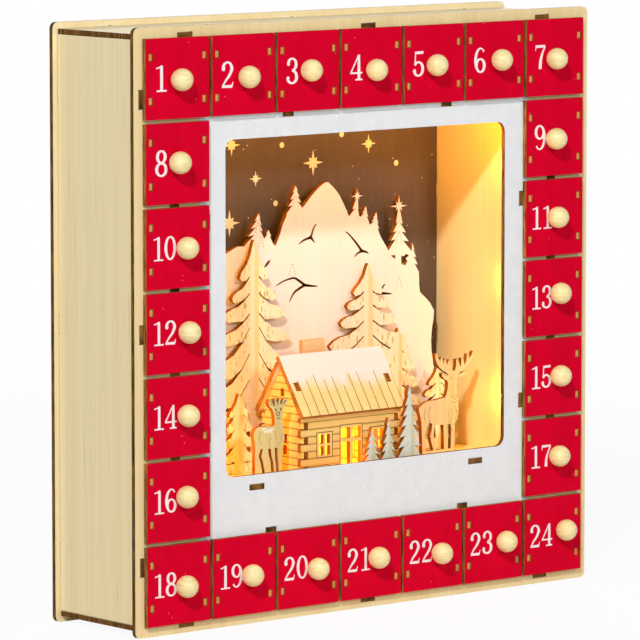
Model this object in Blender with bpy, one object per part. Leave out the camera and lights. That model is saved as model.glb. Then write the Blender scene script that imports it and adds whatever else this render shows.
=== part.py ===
"""Wooden advent calendar: twenty-four drawers in a ring round a lit winter scene.

Everything flat is cut from one thickness of plywood and joined by tabs in slots: a front
and a back panel, a four-sided case between them, racks that carry the drawers, and behind
the window a floor with a mountain, firs, a log cabin and two deer.  A string of small lamps
runs round the window behind the front panel and is fed by two cells under the floor.

Metres, +Z up, the front towards -Y.  The origin is on the surface that the calendar stands
on, in the middle of its width and of its depth.
"""
import math

import bmesh
import bpy
from mathutils import Vector
from mathutils.geometry import delaunay_2d_cdt

# Sheet, clearance and the drawer grid
PLY = 0.0025
GAP = 0.0003
PITCH = 0.0416
GRID = 3
OVERHANG = 0.00315
FRAME_DEPTH = 0.062
PANEL_CORNER = 0.003

# Drawers
FRONT_GAP = 0.0020
TRAY_PLAY = 0.00155
TRAY_HEADROOM = 0.0023
TRAY_BACK_PLAY = 0.0020
HOLE_PLAY = 0.0005
FRONT_TAB_HEIGHT = 0.0040
FRONT_TAB_OFFSET = 0.0107
FRONT_TAB_SINK = 0.0003
KNOB_RADIUS = 0.0055
KNOB_FLAT = 0.0011
KNOB_SIDES = 12
KNOB_RINGS = 5
KNOB_PEG = 0.5

# Where each bead is glued, in mm right of and above the middle of its front, by number.
# The beads are set by hand, further right where the number has two figures.
KNOB_PLACES = ((-0.6, -0.5), (0.2, -1.0), (-1.4, 0.5), (-0.3, -1.1), (-1.5, -0.4), (0.9, 0.4),
               (-2.5, -0.6), (-1.8, 0.6), (-2.6, -0.4), (2.6, 0.1), (-1.1, 0.3), (3.7, 0.1),
               (1.1, 2.2), (2.9, 0.6), (1.4, 0.6), (2.0, 2.0), (0.7, 0.2), (1.8, -0.9),
               (2.0, 0.3), (3.0, -0.8), (1.6, 0.8), (2.6, -1.3), (5.5, 0.4), (5.8, 2.3))

# Window and scene floor
RIM_SIDE = 0.0101
RIM_TOP = 0.0100
WINDOW_CORNER = 0.005
SILL_RISE = 0.0049
FLOOR_HEADROOM = 0.0011

# Tabs in the front and back panels: lengths, and how far each stands from a line of the grid
SIDE_TAB_INSET = 0.0098
SIDE_TAB = 0.009
END_TAB_INSET = 0.0068
END_TAB = 0.009
UPPER_TAB_SHIFT = 0.0108
LOWER_TAB_SHIFT = 0.0014
SHELF_TAB = 0.0065
WALL_TAB_SHIFT = 0.0109
WALL_TAB = 0.0072
LEDGE_TAB = 0.0055
FLOOR_TAB_INSET = 0.0312
FLOOR_TAB = 0.009

# Scene plates: how far each stands behind the front face, or before the sky
SNOW_FIR_DEPTH = 0.0043
DOE_DEPTH = 0.012
STAG_DEPTH = 0.020
NEAR_FIR_DEPTH = 0.034
GROVE_STANDOFF = 0.0215
FIR_STANDOFF = 0.0155
MOUNTAIN_STANDOFF = 0.0105
SCENE_TAB = 0.010
FIGURE_TAB = 0.006

# Mountain, stars and skyline firs
CRACK_WIDTH = 0.0016
CRACK_TAPER = 0.35
STAR_WAIST = 0.26
STAR_SHORT_RAY = 0.57
STAR_SEAT = 0.8
BRANCH_ROOT = 0.48
BRANCH_DROOP = 0.16
FIR_BULGE = 1.3

# Big firs: a branch's outline from the trunk out along its top and round its end, as shares of
# its reach and of its fall; the first branch hangs from the tree's tip
TOP_BRANCH = ((0.09, 0.10), (0.25, 0.36), (0.53, 0.60), (0.89, 0.79), (1.0, 0.92), (0.85, 1.0))
BRANCH = ((0.20, 0.23), (0.43, 0.40), (0.68, 0.45), (0.86, 0.56), (1.0, 0.74), (0.92, 0.91),
          (0.76, 1.0))
BRANCH_SLIT = 0.0009
SLIT_REACH = 0.65
FOOT_LIFT = 0.0010

# Log cabin
CABIN_X = -0.0021
CABIN_DEPTH = 0.008
CABIN_CLEAR = 0.0023
CABIN_WALL_HEIGHT = 0.0284
LOG_HEIGHT = 0.00374
LOG_END = 0.0020
LOG_CHAMFER = 0.0006
ROOF_LENGTH = 0.068
ROOF_OVERHANG = 0.0026
ROOF_RISE = 0.0292
ROOF_TAB = 0.0043
ROOF_TAB_FROM_RIDGE = 0.0181
WINDOW_PANE_WIDTH = 0.0030
WINDOW_PANE_HEIGHT = 0.0046
WINDOW_BAR = 0.0012
CABIN_WINDOW_OFFSET = 0.0177
CABIN_WINDOW_RISE = 0.0138
DOOR_WIDTH = 0.0130
DOOR_HEIGHT = 0.0192
DOOR_RISE = 0.0022
DOOR_BAR = 0.0016
DOOR_CROSS_RISE = 0.0150
LOFT_SLOT_WIDTH = 0.0028
LOFT_SLOT_HEIGHT = 0.0040
LOFT_SLOT_RISE = 0.0380
CHIMNEY_WIDTH = 0.0150
CHIMNEY_OFFSET = -0.0075
CHIMNEY_RISE = 0.0060
CHIMNEY_SETBACK = 0.0040

# Lamp string
WIRE_RADIUS = 0.0006
LAMP_RADIUS = 0.0020
WIRE_INSET = 0.0050
WIRE_BEND = 0.0040
WIRE_NOTCH = 0.0065
LAMPS_PER_SIDE = 3
LAMPS_ACROSS = 4
LAMP_SHAPE = ((-1.0, 0.3), (-0.8, 0.8), (0.5, 1.0), (1.1, 0.3))

# Cells, their case and the switch
CELL_RADIUS = 0.00725
CELL_LENGTH = 0.0505
CELL_NUB_RADIUS = 0.00275
CELL_NUB = 0.0010
CELL_SIDES = 20
CELL_EDGE = 0.0006
CASE_WALL = 0.0016
SPRING_ROOM = 0.0070
SPRING_WIRE = 0.0004
SPRING_TURNS = 3
SPRING_STEPS = 10
SPRING_WIDE = 0.70
SPRING_NARROW = 0.35
CONTACT = 0.0006
CONTACT_SIZE = 0.0100
LID_LAP = 0.0010
LID_NOTCH = 0.0040
LID_NOTCH_STEPS = 8
SWITCH_BAY = 0.0140
SWITCH_NUB = 0.0030
SWITCH_NUB_HEIGHT = 0.0050
SWITCH_BASE = 0.0070
SWITCH_BASE_HEIGHT = 0.0080
SWITCH_BASE_DEPTH = 0.0030
SWITCH_TRAVEL = 0.0030

# Worked out from the sizes above
CASE_LINE = (GRID + 0.5) * PITCH
NICHE_LINE = (GRID - 0.5) * PITCH
CARCASS_OUT = CASE_LINE + PLY / 2
CARCASS_IN = CASE_LINE - PLY / 2
NICHE_HALF = NICHE_LINE - PLY / 2
PANEL_HALF = CARCASS_OUT + OVERHANG
KNOB_HEIGHT = 2 * KNOB_RADIUS - KNOB_FLAT
PROUD = GAP + PLY + KNOB_HEIGHT
SKY = PLY + FRAME_DEPTH
BACK = SKY + PLY
FRONT_Y = (PROUD - BACK) / 2
CASE_INNER = 2 * (CELL_RADIUS + GAP)
CASE_HEIGHT = CASE_INNER + 2 * CASE_WALL
UNDERFLOOR = CASE_HEIGHT + 2 * GAP + FLOOR_HEADROOM
SHELF_TOP = -NICHE_HALF
FLOOR_UNDER = SHELF_TOP + UNDERFLOOR
FLOOR_TOP = FLOOR_UNDER + PLY
SILL = FLOOR_TOP + SILL_RISE
WINDOW_HALF = NICHE_HALF - RIM_SIDE
WINDOW_TOP = NICHE_HALF - RIM_TOP
NEAR = PLY + GAP
FAR = SKY - GAP
DRAWER_FRONT = PITCH - FRONT_GAP
TRAY_HALF = (PITCH - PLY) / 2 - TRAY_PLAY
TRAY_FOOT = -(PITCH - PLY) / 2 + GAP
TRAY_RIM = (PITCH - PLY) / 2 - TRAY_HEADROOM
TRAY_END = SKY - TRAY_BACK_PLAY
SIDE_TAB_OFFSET = GRID * PITCH - SIDE_TAB_INSET
END_TAB_OFFSET = GRID * PITCH - END_TAB_INSET
UPPER_TAB_OFFSET = PITCH + UPPER_TAB_SHIFT
LOWER_TAB_OFFSET = (GRID - 1.5) * PITCH + LOWER_TAB_SHIFT
WALL_TAB_OFFSET = PITCH + WALL_TAB_SHIFT
FLOOR_TAB_OFFSET = NICHE_LINE - FLOOR_TAB_INSET
GROVE_DEPTH = SKY - GROVE_STANDOFF
FIR_DEPTH = SKY - FIR_STANDOFF
MOUNTAIN_DEPTH = SKY - MOUNTAIN_STANDOFF

BARE = (0.80, 0.62, 0.38, 1.0)
RED = (0.62, 0.01, 0.015, 1.0)
WHITE = (0.80, 0.80, 0.79, 1.0)
SNOW = (0.66, 0.72, 0.78, 1.0)
METAL = (0.60, 0.60, 0.58, 1.0)
BLACK = (0.03, 0.03, 0.03, 1.0)
STEEL = (0.45, 0.42, 0.35, 1.0)


def clear_scene():
    """Empty the file, so that it holds only this object."""
    for item in list(bpy.data.objects):
        bpy.data.objects.remove(item, do_unlink=True)


def upright(u, v, w):
    """A sheet that faces the front: u to the right, v up, w back from the front face."""
    return (u, FRONT_Y + w, PANEL_HALF + v)


def sideways(u, v, w):
    """A sheet that faces left or right: u back from the front face, v up, w to the right."""
    return (w, FRONT_Y + u, PANEL_HALF + v)


def level(u, v, w):
    """A sheet that lies flat: u back from the front face, v to the right, w up."""
    return (v, FRONT_Y + u, PANEL_HALF + w)


def inside(point, loops):
    """Whether a point lies on the sheet: an odd number of loop edges cross its ray."""
    crossings = 0
    for loop in loops:
        for (ax, ay), (bx, by) in zip(loop, loop[1:] + loop[:1]):
            if (ay > point[1]) != (by > point[1]):
                reach = ax + (point[1] - ay) * (bx - ax) / (by - ay)
                crossings += reach > point[0]
    return crossings % 2 == 1


def sheet(outline, holes, near, far, place):
    """Closed mesh of a flat sheet with holes, cut square through from near to far."""
    loops = [list(outline)] + [list(hole) for hole in holes]
    flat = [point for loop in loops for point in loop]
    ring_edges = []
    start = 0
    for loop in loops:
        count = len(loop)
        ring_edges += [(start + i, start + (i + 1) % count) for i in range(count)]
        start += count
    in_mm = [Vector((1000 * u, 1000 * v)) for u, v in flat]
    found, _, triangles, sources, _, _ = delaunay_2d_cdt(in_mm, ring_edges, [], 1, 1e-6)
    origin_of = [source[0] for source in sources if source]
    if len(found) != len(flat) or len(origin_of) != len(flat):
        raise ValueError("the outline of a sheet crosses itself or meets a hole")
    caps = []
    for triangle in triangles:
        corners = [origin_of[i] for i in triangle]
        middle = [sum(flat[i][axis] for i in corners) / len(corners) for axis in (0, 1)]
        if inside(middle, loops):
            caps.append(corners)
    total = len(flat)
    points = [place(u, v, near) for u, v in flat] + [place(u, v, far) for u, v in flat]
    faces = [tuple(cap) for cap in caps] + [tuple(i + total for i in cap) for cap in caps]
    faces += [(a, b, b + total, a + total) for a, b in ring_edges]
    return closed_mesh(points, faces)


def closed_mesh(points, faces):
    """Mesh from points and faces, with every face turned outwards."""
    mesh = bpy.data.meshes.new("piece")
    mesh.from_pydata(points, [], faces)
    work = bmesh.new()
    work.from_mesh(mesh)
    bmesh.ops.recalc_face_normals(work, faces=work.faces)
    work.to_mesh(mesh)
    work.free()
    return mesh


def block(low, high):
    """Closed mesh of a square-edged block between two corners, given as x, depth, height."""
    xs, ys, zs = zip(low, high)
    outline = [(xs[0], zs[0]), (xs[1], zs[0]), (xs[1], zs[1]), (xs[0], zs[1])]
    return sheet(outline, [], ys[0], ys[1], upright)


def combined(host, tools, operation):
    """Mesh of the host after each tool mesh is joined to it or cut from it."""
    body = bpy.data.objects.new("host", host)
    bpy.context.collection.objects.link(body)
    helpers = []
    for tool in tools:
        helper = bpy.data.objects.new("tool", tool)
        bpy.context.collection.objects.link(helper)
        helpers.append(helper)
        step = body.modifiers.new("step", "BOOLEAN")
        step.operation = operation
        step.solver = "EXACT"
        step.object = helper
    bpy.context.view_layer.update()
    graph = bpy.context.evaluated_depsgraph_get()
    result = bpy.data.meshes.new_from_object(body.evaluated_get(graph))
    for item in [body] + helpers:
        bpy.data.objects.remove(item, do_unlink=True)
    return result


def turned(profile, sides, axis_point):
    """Closed mesh turned round an axis; the profile lists (along the axis, radius)."""
    points = []
    faces = []
    rings = []
    for along, radius in profile:
        if radius == 0:
            rings.append([len(points)])
            points.append(axis_point(along, 0.0, 0.0))
            continue
        ring = []
        for step in range(sides):
            angle = 2 * math.pi * (step + 0.5) / sides
            ring.append(len(points))
            points.append(axis_point(along, radius * math.cos(angle), radius * math.sin(angle)))
        rings.append(ring)
    for first, second in zip(rings, rings[1:]):
        for step in range(sides):
            following = (step + 1) % sides
            a, b = first[step % len(first)], first[following % len(first)]
            c, d = second[following % len(second)], second[step % len(second)]
            corners = [a, b, c, d]
            faces.append(tuple(dict.fromkeys(corners)))
    return closed_mesh(points, faces)


def finish(name, colour, roughness, metallic=0.0):
    """A piece's own material."""
    material = bpy.data.materials.new(name)
    material.use_nodes = True
    shader = material.node_tree.nodes["Principled BSDF"]
    shader.inputs["Base Color"].default_value = colour
    shader.inputs["Roughness"].default_value = roughness
    shader.inputs["Metallic"].default_value = metallic
    return material


def piece(name, mesh, colour=BARE, roughness=0.6, metallic=0.0, origin=(0.0, 0.0, 0.0), smooth=False):
    """Place a mesh as a named object with its own material and its origin at a given point."""
    item = bpy.data.objects.new(name, mesh)
    bpy.context.collection.objects.link(item)
    if not mesh.materials:
        mesh.materials.append(finish(name, colour, roughness, metallic))
    if smooth:
        mesh.shade_smooth()
        mesh.set_sharp_from_angle(angle=math.radians(35))
    item.location = origin
    return item


def recentred(mesh, origin):
    """Move a mesh so that the given world point becomes its own origin."""
    for vertex in mesh.vertices:
        vertex.co -= Vector(origin)
    return mesh


def rectangle(u0, u1, v0, v1):
    """Corners of a rectangle, anticlockwise."""
    return [(u0, v0), (u1, v0), (u1, v1), (u0, v1)]


def rounded(u0, u1, v0, v1, radius, steps=4):
    """Rectangle with round corners, each an arc of a few steps."""
    points = []
    corners = ((u1 - radius, v0 + radius, -90), (u1 - radius, v1 - radius, 0),
               (u0 + radius, v1 - radius, 90), (u0 + radius, v0 + radius, 180))
    for cu, cv, start in corners:
        for step in range(steps + 1):
            angle = math.radians(start + 90 * step / steps)
            points.append((cu + radius * math.cos(angle), cv + radius * math.sin(angle)))
    return points


def smooth_line(points, steps):
    """Catmull-Rom curve through the points, with a number of steps between each two."""
    line = []
    padded = [points[0]] + list(points) + [points[-1]]
    for p0, p1, p2, p3 in zip(padded, padded[1:], padded[2:], padded[3:]):
        for step in range(steps):
            t = step / steps
            line.append(tuple(
                0.5 * (2 * b + (c - a) * t + (2 * a - 5 * b + 4 * c - d) * t ** 2
                       + (3 * b - a - 3 * c + d) * t ** 3)
                for a, b, c, d in zip(p0, p1, p2, p3)))
    line.append(tuple(points[-1]))
    return line


# Case and racks

def panel_tabs():
    """Each tab that passes through both panels, as (x, height, width, length up)."""
    tabs = []
    for side in (-1, 1):
        for rise in (-SIDE_TAB_OFFSET, 0.0, SIDE_TAB_OFFSET):
            tabs.append((side * CASE_LINE, rise, PLY, SIDE_TAB))
        for along in (-END_TAB_OFFSET, 0.0, END_TAB_OFFSET):
            tabs.append((along, side * CASE_LINE, END_TAB, PLY))
        for rise in (-WALL_TAB_OFFSET, WALL_TAB_OFFSET):
            tabs.append((side * NICHE_LINE, rise, PLY, WALL_TAB))
        for line in ledge_lines():
            tabs.append((side * GRID * PITCH, line, LEDGE_TAB, PLY))
        tabs.append((side * UPPER_TAB_OFFSET, NICHE_LINE, SHELF_TAB, PLY))
        tabs.append((side * LOWER_TAB_OFFSET, -NICHE_LINE, SHELF_TAB, PLY))
        tabs.append((side * FLOOR_TAB_OFFSET, (FLOOR_UNDER + FLOOR_TOP) / 2, FLOOR_TAB, PLY))
    return tabs


def ledge_lines():
    """Heights of the ledges between the drawers of a side column."""
    return [(line + 0.5) * PITCH for line in range(-GRID + 1, GRID - 1)]


def slot_outline(tab):
    """Slot that a tab passes through, a clearance larger all round."""
    x, z, width, height = tab
    return rectangle(x - width / 2 - GAP, x + width / 2 + GAP, z - height / 2 - GAP, z + height / 2 + GAP)


def drawer_cells():
    """Columns and rows of the twenty-four drawers, in the order of their numbers."""
    cells = [(column, GRID) for column in range(-GRID, GRID + 1)]
    for row in range(GRID - 1, -GRID, -1):
        cells += [(-GRID, row), (GRID, row)]
    cells += [(column, -GRID) for column in range(-GRID, GRID + 1)]
    return cells


def drawer_hole(column, row, tabs):
    """Opening for a tray; a tab of the shelf below it stands open to it as a notch."""
    left = column * PITCH - TRAY_HALF - HOLE_PLAY
    right = column * PITCH + TRAY_HALF + HOLE_PLAY
    foot = row * PITCH - (PITCH - PLY) / 2
    head = row * PITCH + TRAY_RIM + HOLE_PLAY
    lower = [(left, foot)]
    used = []
    for tab in sorted(tabs):
        x, z, width, height = tab
        shelf_line = foot - PLY / 2
        if abs(z - shelf_line) < PLY / 4 and left < x - width / 2 - GAP and x + width / 2 + GAP < right:
            low = z - height / 2 - GAP
            near, far = x - width / 2 - GAP, x + width / 2 + GAP
            lower += [(near, foot), (near, low), (far, low), (far, foot)]
            used.append(tab)
    return lower + [(right, foot), (right, head), (left, head)], used


def front_panel():
    """Front panel with the window, the drawer openings and the slots."""
    tabs = panel_tabs()
    holes = [rounded(-WINDOW_HALF, WINDOW_HALF, SILL, WINDOW_TOP, WINDOW_CORNER)]
    open_tabs = []
    for column, row in drawer_cells():
        hole, used = drawer_hole(column, row, tabs)
        holes.append(hole)
        open_tabs += used
    holes += [slot_outline(tab) for tab in tabs if tab not in open_tabs]
    outline = rounded(-PANEL_HALF, PANEL_HALF, -PANEL_HALF, PANEL_HALF, PANEL_CORNER, 3)
    return sheet(outline, holes, 0.0, PLY, upright)


def back_panel():
    """Back panel with the slots, the cell opening and the switch slot."""
    outline = rounded(-PANEL_HALF, PANEL_HALF, -PANEL_HALF, PANEL_HALF, PANEL_CORNER, 3)
    holes = [slot_outline(tab) for tab in panel_tabs()]
    holes.append(rectangle(*cell_opening()))
    holes.append(rectangle(*switch_slot()))
    return sheet(outline, holes, SKY, BACK, upright)


def between_panels(low, high, tab_places, tab_length):
    """Outline of a sheet that runs from panel to panel, its tabs flush with their outer faces."""
    near_edge = [(NEAR, low)]
    far_edge = [(FAR, low)]
    for place in sorted(tab_places):
        bottom, top = place - tab_length / 2, place + tab_length / 2
        near_edge += [(NEAR, bottom), (0.0, bottom), (0.0, top), (NEAR, top)]
        far_edge += [(FAR, bottom), (BACK, bottom), (BACK, top), (FAR, top)]
    near_edge.append((NEAR, high))
    far_edge.append((FAR, high))
    return far_edge + near_edge[::-1]


def side_panel(side):
    """Left or right side of the case, between the top and the bottom."""
    reach = CARCASS_IN - GAP
    outline = between_panels(-reach, reach, (-SIDE_TAB_OFFSET, 0.0, SIDE_TAB_OFFSET), SIDE_TAB)
    line = side * CASE_LINE
    return sheet(outline, [], line - PLY / 2, line + PLY / 2, sideways)


def end_panel(side):
    """Top or bottom of the case, the full width of it."""
    places = (-END_TAB_OFFSET, 0.0, END_TAB_OFFSET)
    outline = between_panels(-CARCASS_OUT, CARCASS_OUT, places, END_TAB)
    line = side * CASE_LINE
    return sheet(outline, [], line - PLY / 2, line + PLY / 2, level)


def shelf_rack(side):
    """Upper or lower shelf with the dividers that part its row of drawers."""
    reach = CARCASS_IN - GAP
    offset = UPPER_TAB_OFFSET if side > 0 else LOWER_TAB_OFFSET
    outline = between_panels(-reach, reach, (-offset, offset), SHELF_TAB)
    line = side * NICHE_LINE
    shelf = sheet(outline, [], line - PLY / 2, line + PLY / 2, level)
    ends = sorted((line, side * (CARCASS_IN - GAP)))
    dividers = []
    for step in range(-GRID, GRID):
        x = (step + 0.5) * PITCH
        dividers.append(block((x - PLY / 2, NEAR, ends[0]), (x + PLY / 2, FAR, ends[1])))
    return combined(shelf, dividers, "UNION")


def column_rack(side):
    """Side wall of the scene with the ledges that carry a column of drawers."""
    reach = NICHE_HALF - GAP
    outline = between_panels(-reach, reach, (-WALL_TAB_OFFSET, WALL_TAB_OFFSET), WALL_TAB)
    line = side * NICHE_LINE
    wall = sheet(outline, [], line - PLY / 2, line + PLY / 2, sideways)
    ends = sorted((line, side * (CARCASS_IN - GAP)))
    ledges = []
    for rise in ledge_lines():
        ledge = between_panels(ends[0], ends[1], (side * GRID * PITCH,), LEDGE_TAB)
        ledges.append(sheet(ledge, [], rise - PLY / 2, rise + PLY / 2, level))
    return combined(wall, ledges, "UNION")


# Drawers

def drawer_body():
    """Front and tray of a drawer, glued into one, with the ends of the tray's tabs in the front."""
    half = DRAWER_FRONT / 2
    face = -GAP - PLY
    front = block((-half, face, -half), (half, -GAP, half))
    tray = block((-TRAY_HALF, -GAP - PLY / 2, TRAY_FOOT), (TRAY_HALF, TRAY_END, TRAY_RIM))
    hollow = block((-TRAY_HALF + PLY, -GAP, TRAY_FOOT + PLY),
                   (TRAY_HALF - PLY, TRAY_END - PLY, TRAY_RIM + PLY))
    pockets = []
    for side in (-1, 1):
        for rise in (-FRONT_TAB_OFFSET, FRONT_TAB_OFFSET):
            x = side * (TRAY_HALF - PLY / 2)
            low = (x - PLY / 2, face - PLY, rise - FRONT_TAB_HEIGHT / 2)
            high = (x + PLY / 2, face + FRONT_TAB_SINK, rise + FRONT_TAB_HEIGHT / 2)
            pockets.append(block(low, high))
    solid = combined(front, [tray], "UNION")
    return combined(solid, [hollow] + pockets, "DIFFERENCE")


def knob(x, z):
    """Bead with a flat that is glued to a drawer's front, on a short peg inside it."""
    face = -GAP - PLY
    centre = face - KNOB_RADIUS + KNOB_FLAT
    start = math.acos((KNOB_RADIUS - KNOB_FLAT) / KNOB_RADIUS)
    angles = [start + (math.pi - start) * ring / KNOB_RINGS for ring in range(KNOB_RINGS)]
    ball = [(centre + KNOB_RADIUS * math.cos(angle), KNOB_RADIUS * math.sin(angle)) for angle in angles]
    inner = face + PLY * KNOB_PEG
    profile = [(inner, 0), (inner, ball[0][1])] + ball + [(centre - KNOB_RADIUS, 0)]

    def on_front(along, u, v):
        return (x + u, FRONT_Y + along, PANEL_HALF + z + v)

    return turned(profile, KNOB_SIDES, on_front)


def drawers():
    """All twenty-four, alike but for the place of the bead; each one's origin is its tray's mouth."""
    body = drawer_body()
    for number, (column, row) in enumerate(drawer_cells(), start=1):
        x, z = KNOB_PLACES[number - 1]
        mesh = combined(body.copy(), [knob(x / 1000, z / 1000)], "UNION")
        recentred(mesh, (0.0, FRONT_Y, PANEL_HALF))
        place = (column * PITCH, FRONT_Y, PANEL_HALF + row * PITCH)
        piece("drawer_%02d" % number, mesh, RED, 0.45, origin=place, smooth=True)


# Scene outlines; heights and places are in parts of the niche's half width from its middle

def land(points):
    """Points of the landscape at their real size."""
    return [(x * NICHE_HALF, z * NICHE_HALF) for x, z in points]


def star(centre, radius, points=8):
    """Star with long rays up, down and across and short ones between them."""
    outline = []
    for step in range(2 * points):
        angle = math.pi / 2 - math.pi * step / points
        reach = radius * STAR_WAIST
        if step % 4 == 0:
            reach = radius
        elif step % 2 == 0:
            reach = radius * STAR_SHORT_RAY
        outline.append((centre[0] + reach * math.cos(angle), centre[1] + reach * math.sin(angle)))
    return outline


def small_fir(left, right, tip, tiers, star_radius=0.0):
    """Jagged fir on a skyline, from its left foot over its tip to its right foot.  Its outer points
    follow a line that bulges outwards."""
    sides = []
    for foot in (left, right):
        side = []
        for tier in range(tiers):
            share = tier / tiers
            inwards = share ** FIR_BULGE
            side.append((foot[0] + (tip[0] - foot[0]) * inwards, foot[1] + (tip[1] - foot[1]) * share))
            if tier < tiers - 1:
                above = (tier + 1 + BRANCH_DROOP) / tiers
                root = (foot[0] - tip[0]) * (1 - above) * BRANCH_ROOT
                side.append((tip[0] + root, foot[1] + (tip[1] - foot[1]) * above))
        sides.append(side)
    top = [tip]
    if star_radius:
        rays = star((tip[0], tip[1] + STAR_SEAT * star_radius), star_radius)
        top = rays[9:] + rays[:8]
    return sides[0] + top + sides[1][::-1]


def branch_line(trunk, order, branch):
    """Outline of a big fir's branch: its top and its round end, from the trunk outwards."""
    reach, start, end, droop = branch
    root = trunk if order else 0.0
    line = []
    for across, down in BRANCH if order else TOP_BRANCH:
        fall = down + droop * across * (1 - down)
        line.append((root + across * (reach - root), start + fall * (end - start)))
    return line


def big_fir(axis, tip, foot, trunk, branches):
    """Fir from its left foot over its tip to its right foot, with branches parted by slits that
    reach the trunk.  A branch is its reach, the heights where it starts and ends, and its droop."""
    lines = [branch_line(trunk, order, branch) for order, branch in enumerate(branches)]
    side = []
    for order, line in enumerate(lines):
        side += line
        if order + 1 < len(lines):
            reach, _, end, _ = branches[order]
            start = branches[order + 1][1]
            below = [(x, z) for x, z in lines[order + 1][:2] if x < SLIT_REACH * reach]
            side += [(x, max(z + BRANCH_SLIT, end)) for x, z in below[::-1]]
            side += [(trunk, start + BRANCH_SLIT / 2), (trunk, start - BRANCH_SLIT / 2)]
    side.append((trunk, branches[-1][2] + FOOT_LIFT))
    left = [(axis - out, z) for out, z in side]
    right = [(axis + out, z) for out, z in side]
    return [(axis - trunk, foot)] + left[::-1] + [(axis, tip)] + right + [(axis + trunk, foot)]


def crack(centre, arms):
    """Pierced crack: curved arms that thin out from a centre, each a list of points to its tip."""
    runs = [smooth_line([centre] + list(arm), 2) for arm in arms]
    headings = [math.atan2(run[1][1] - centre[1], run[1][0] - centre[0]) for run in runs]
    order = sorted(range(len(runs)), key=lambda arm: headings[arm])
    outline = []
    for turn, arm in enumerate(order):
        run = runs[arm]
        steps = len(run) - 1
        near_side = []
        far_side = []
        for step in range(1, steps):
            along = Vector(run[step + 1]) - Vector(run[step - 1])
            half = CRACK_WIDTH / 2 * (CRACK_TAPER + (1 - CRACK_TAPER) * (1 - step / steps))
            out = Vector((along.y, -along.x)).normalized() * half
            near_side.append(tuple(Vector(run[step]) + out))
            far_side.append(tuple(Vector(run[step]) - out))
        following = headings[order[(turn + 1) % len(order)]]
        spread = (following - headings[arm]) % (2 * math.pi)
        middle = headings[arm] + spread / 2
        reach = CRACK_WIDTH / 2 / max(math.sin(spread / 2), 0.5)
        corner = (centre[0] + reach * math.cos(middle), centre[1] + reach * math.sin(middle))
        outline += near_side + [run[-1]] + far_side[::-1] + [corner]
    return outline


FLOOR_SLOTS = []


def standing(skyline, tab_places, tab_length, holes, depth):
    """Plate that stands on the floor: its skyline from left to right, and tabs through the floor."""
    foot = FLOOR_TOP + GAP
    left, right = skyline[0][0], skyline[-1][0]
    lower = [(right, foot)]
    for place in sorted(tab_places, reverse=True):
        near, far = place - tab_length / 2, place + tab_length / 2
        lower += [(far, foot), (far, FLOOR_UNDER), (near, FLOOR_UNDER), (near, foot)]
        FLOOR_SLOTS.append((near, far, depth, depth + PLY))
    lower.append((left, foot))
    outline = [point for point in skyline if point[1] > foot] + lower
    return sheet(outline, holes, depth, depth + PLY, upright)


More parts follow.
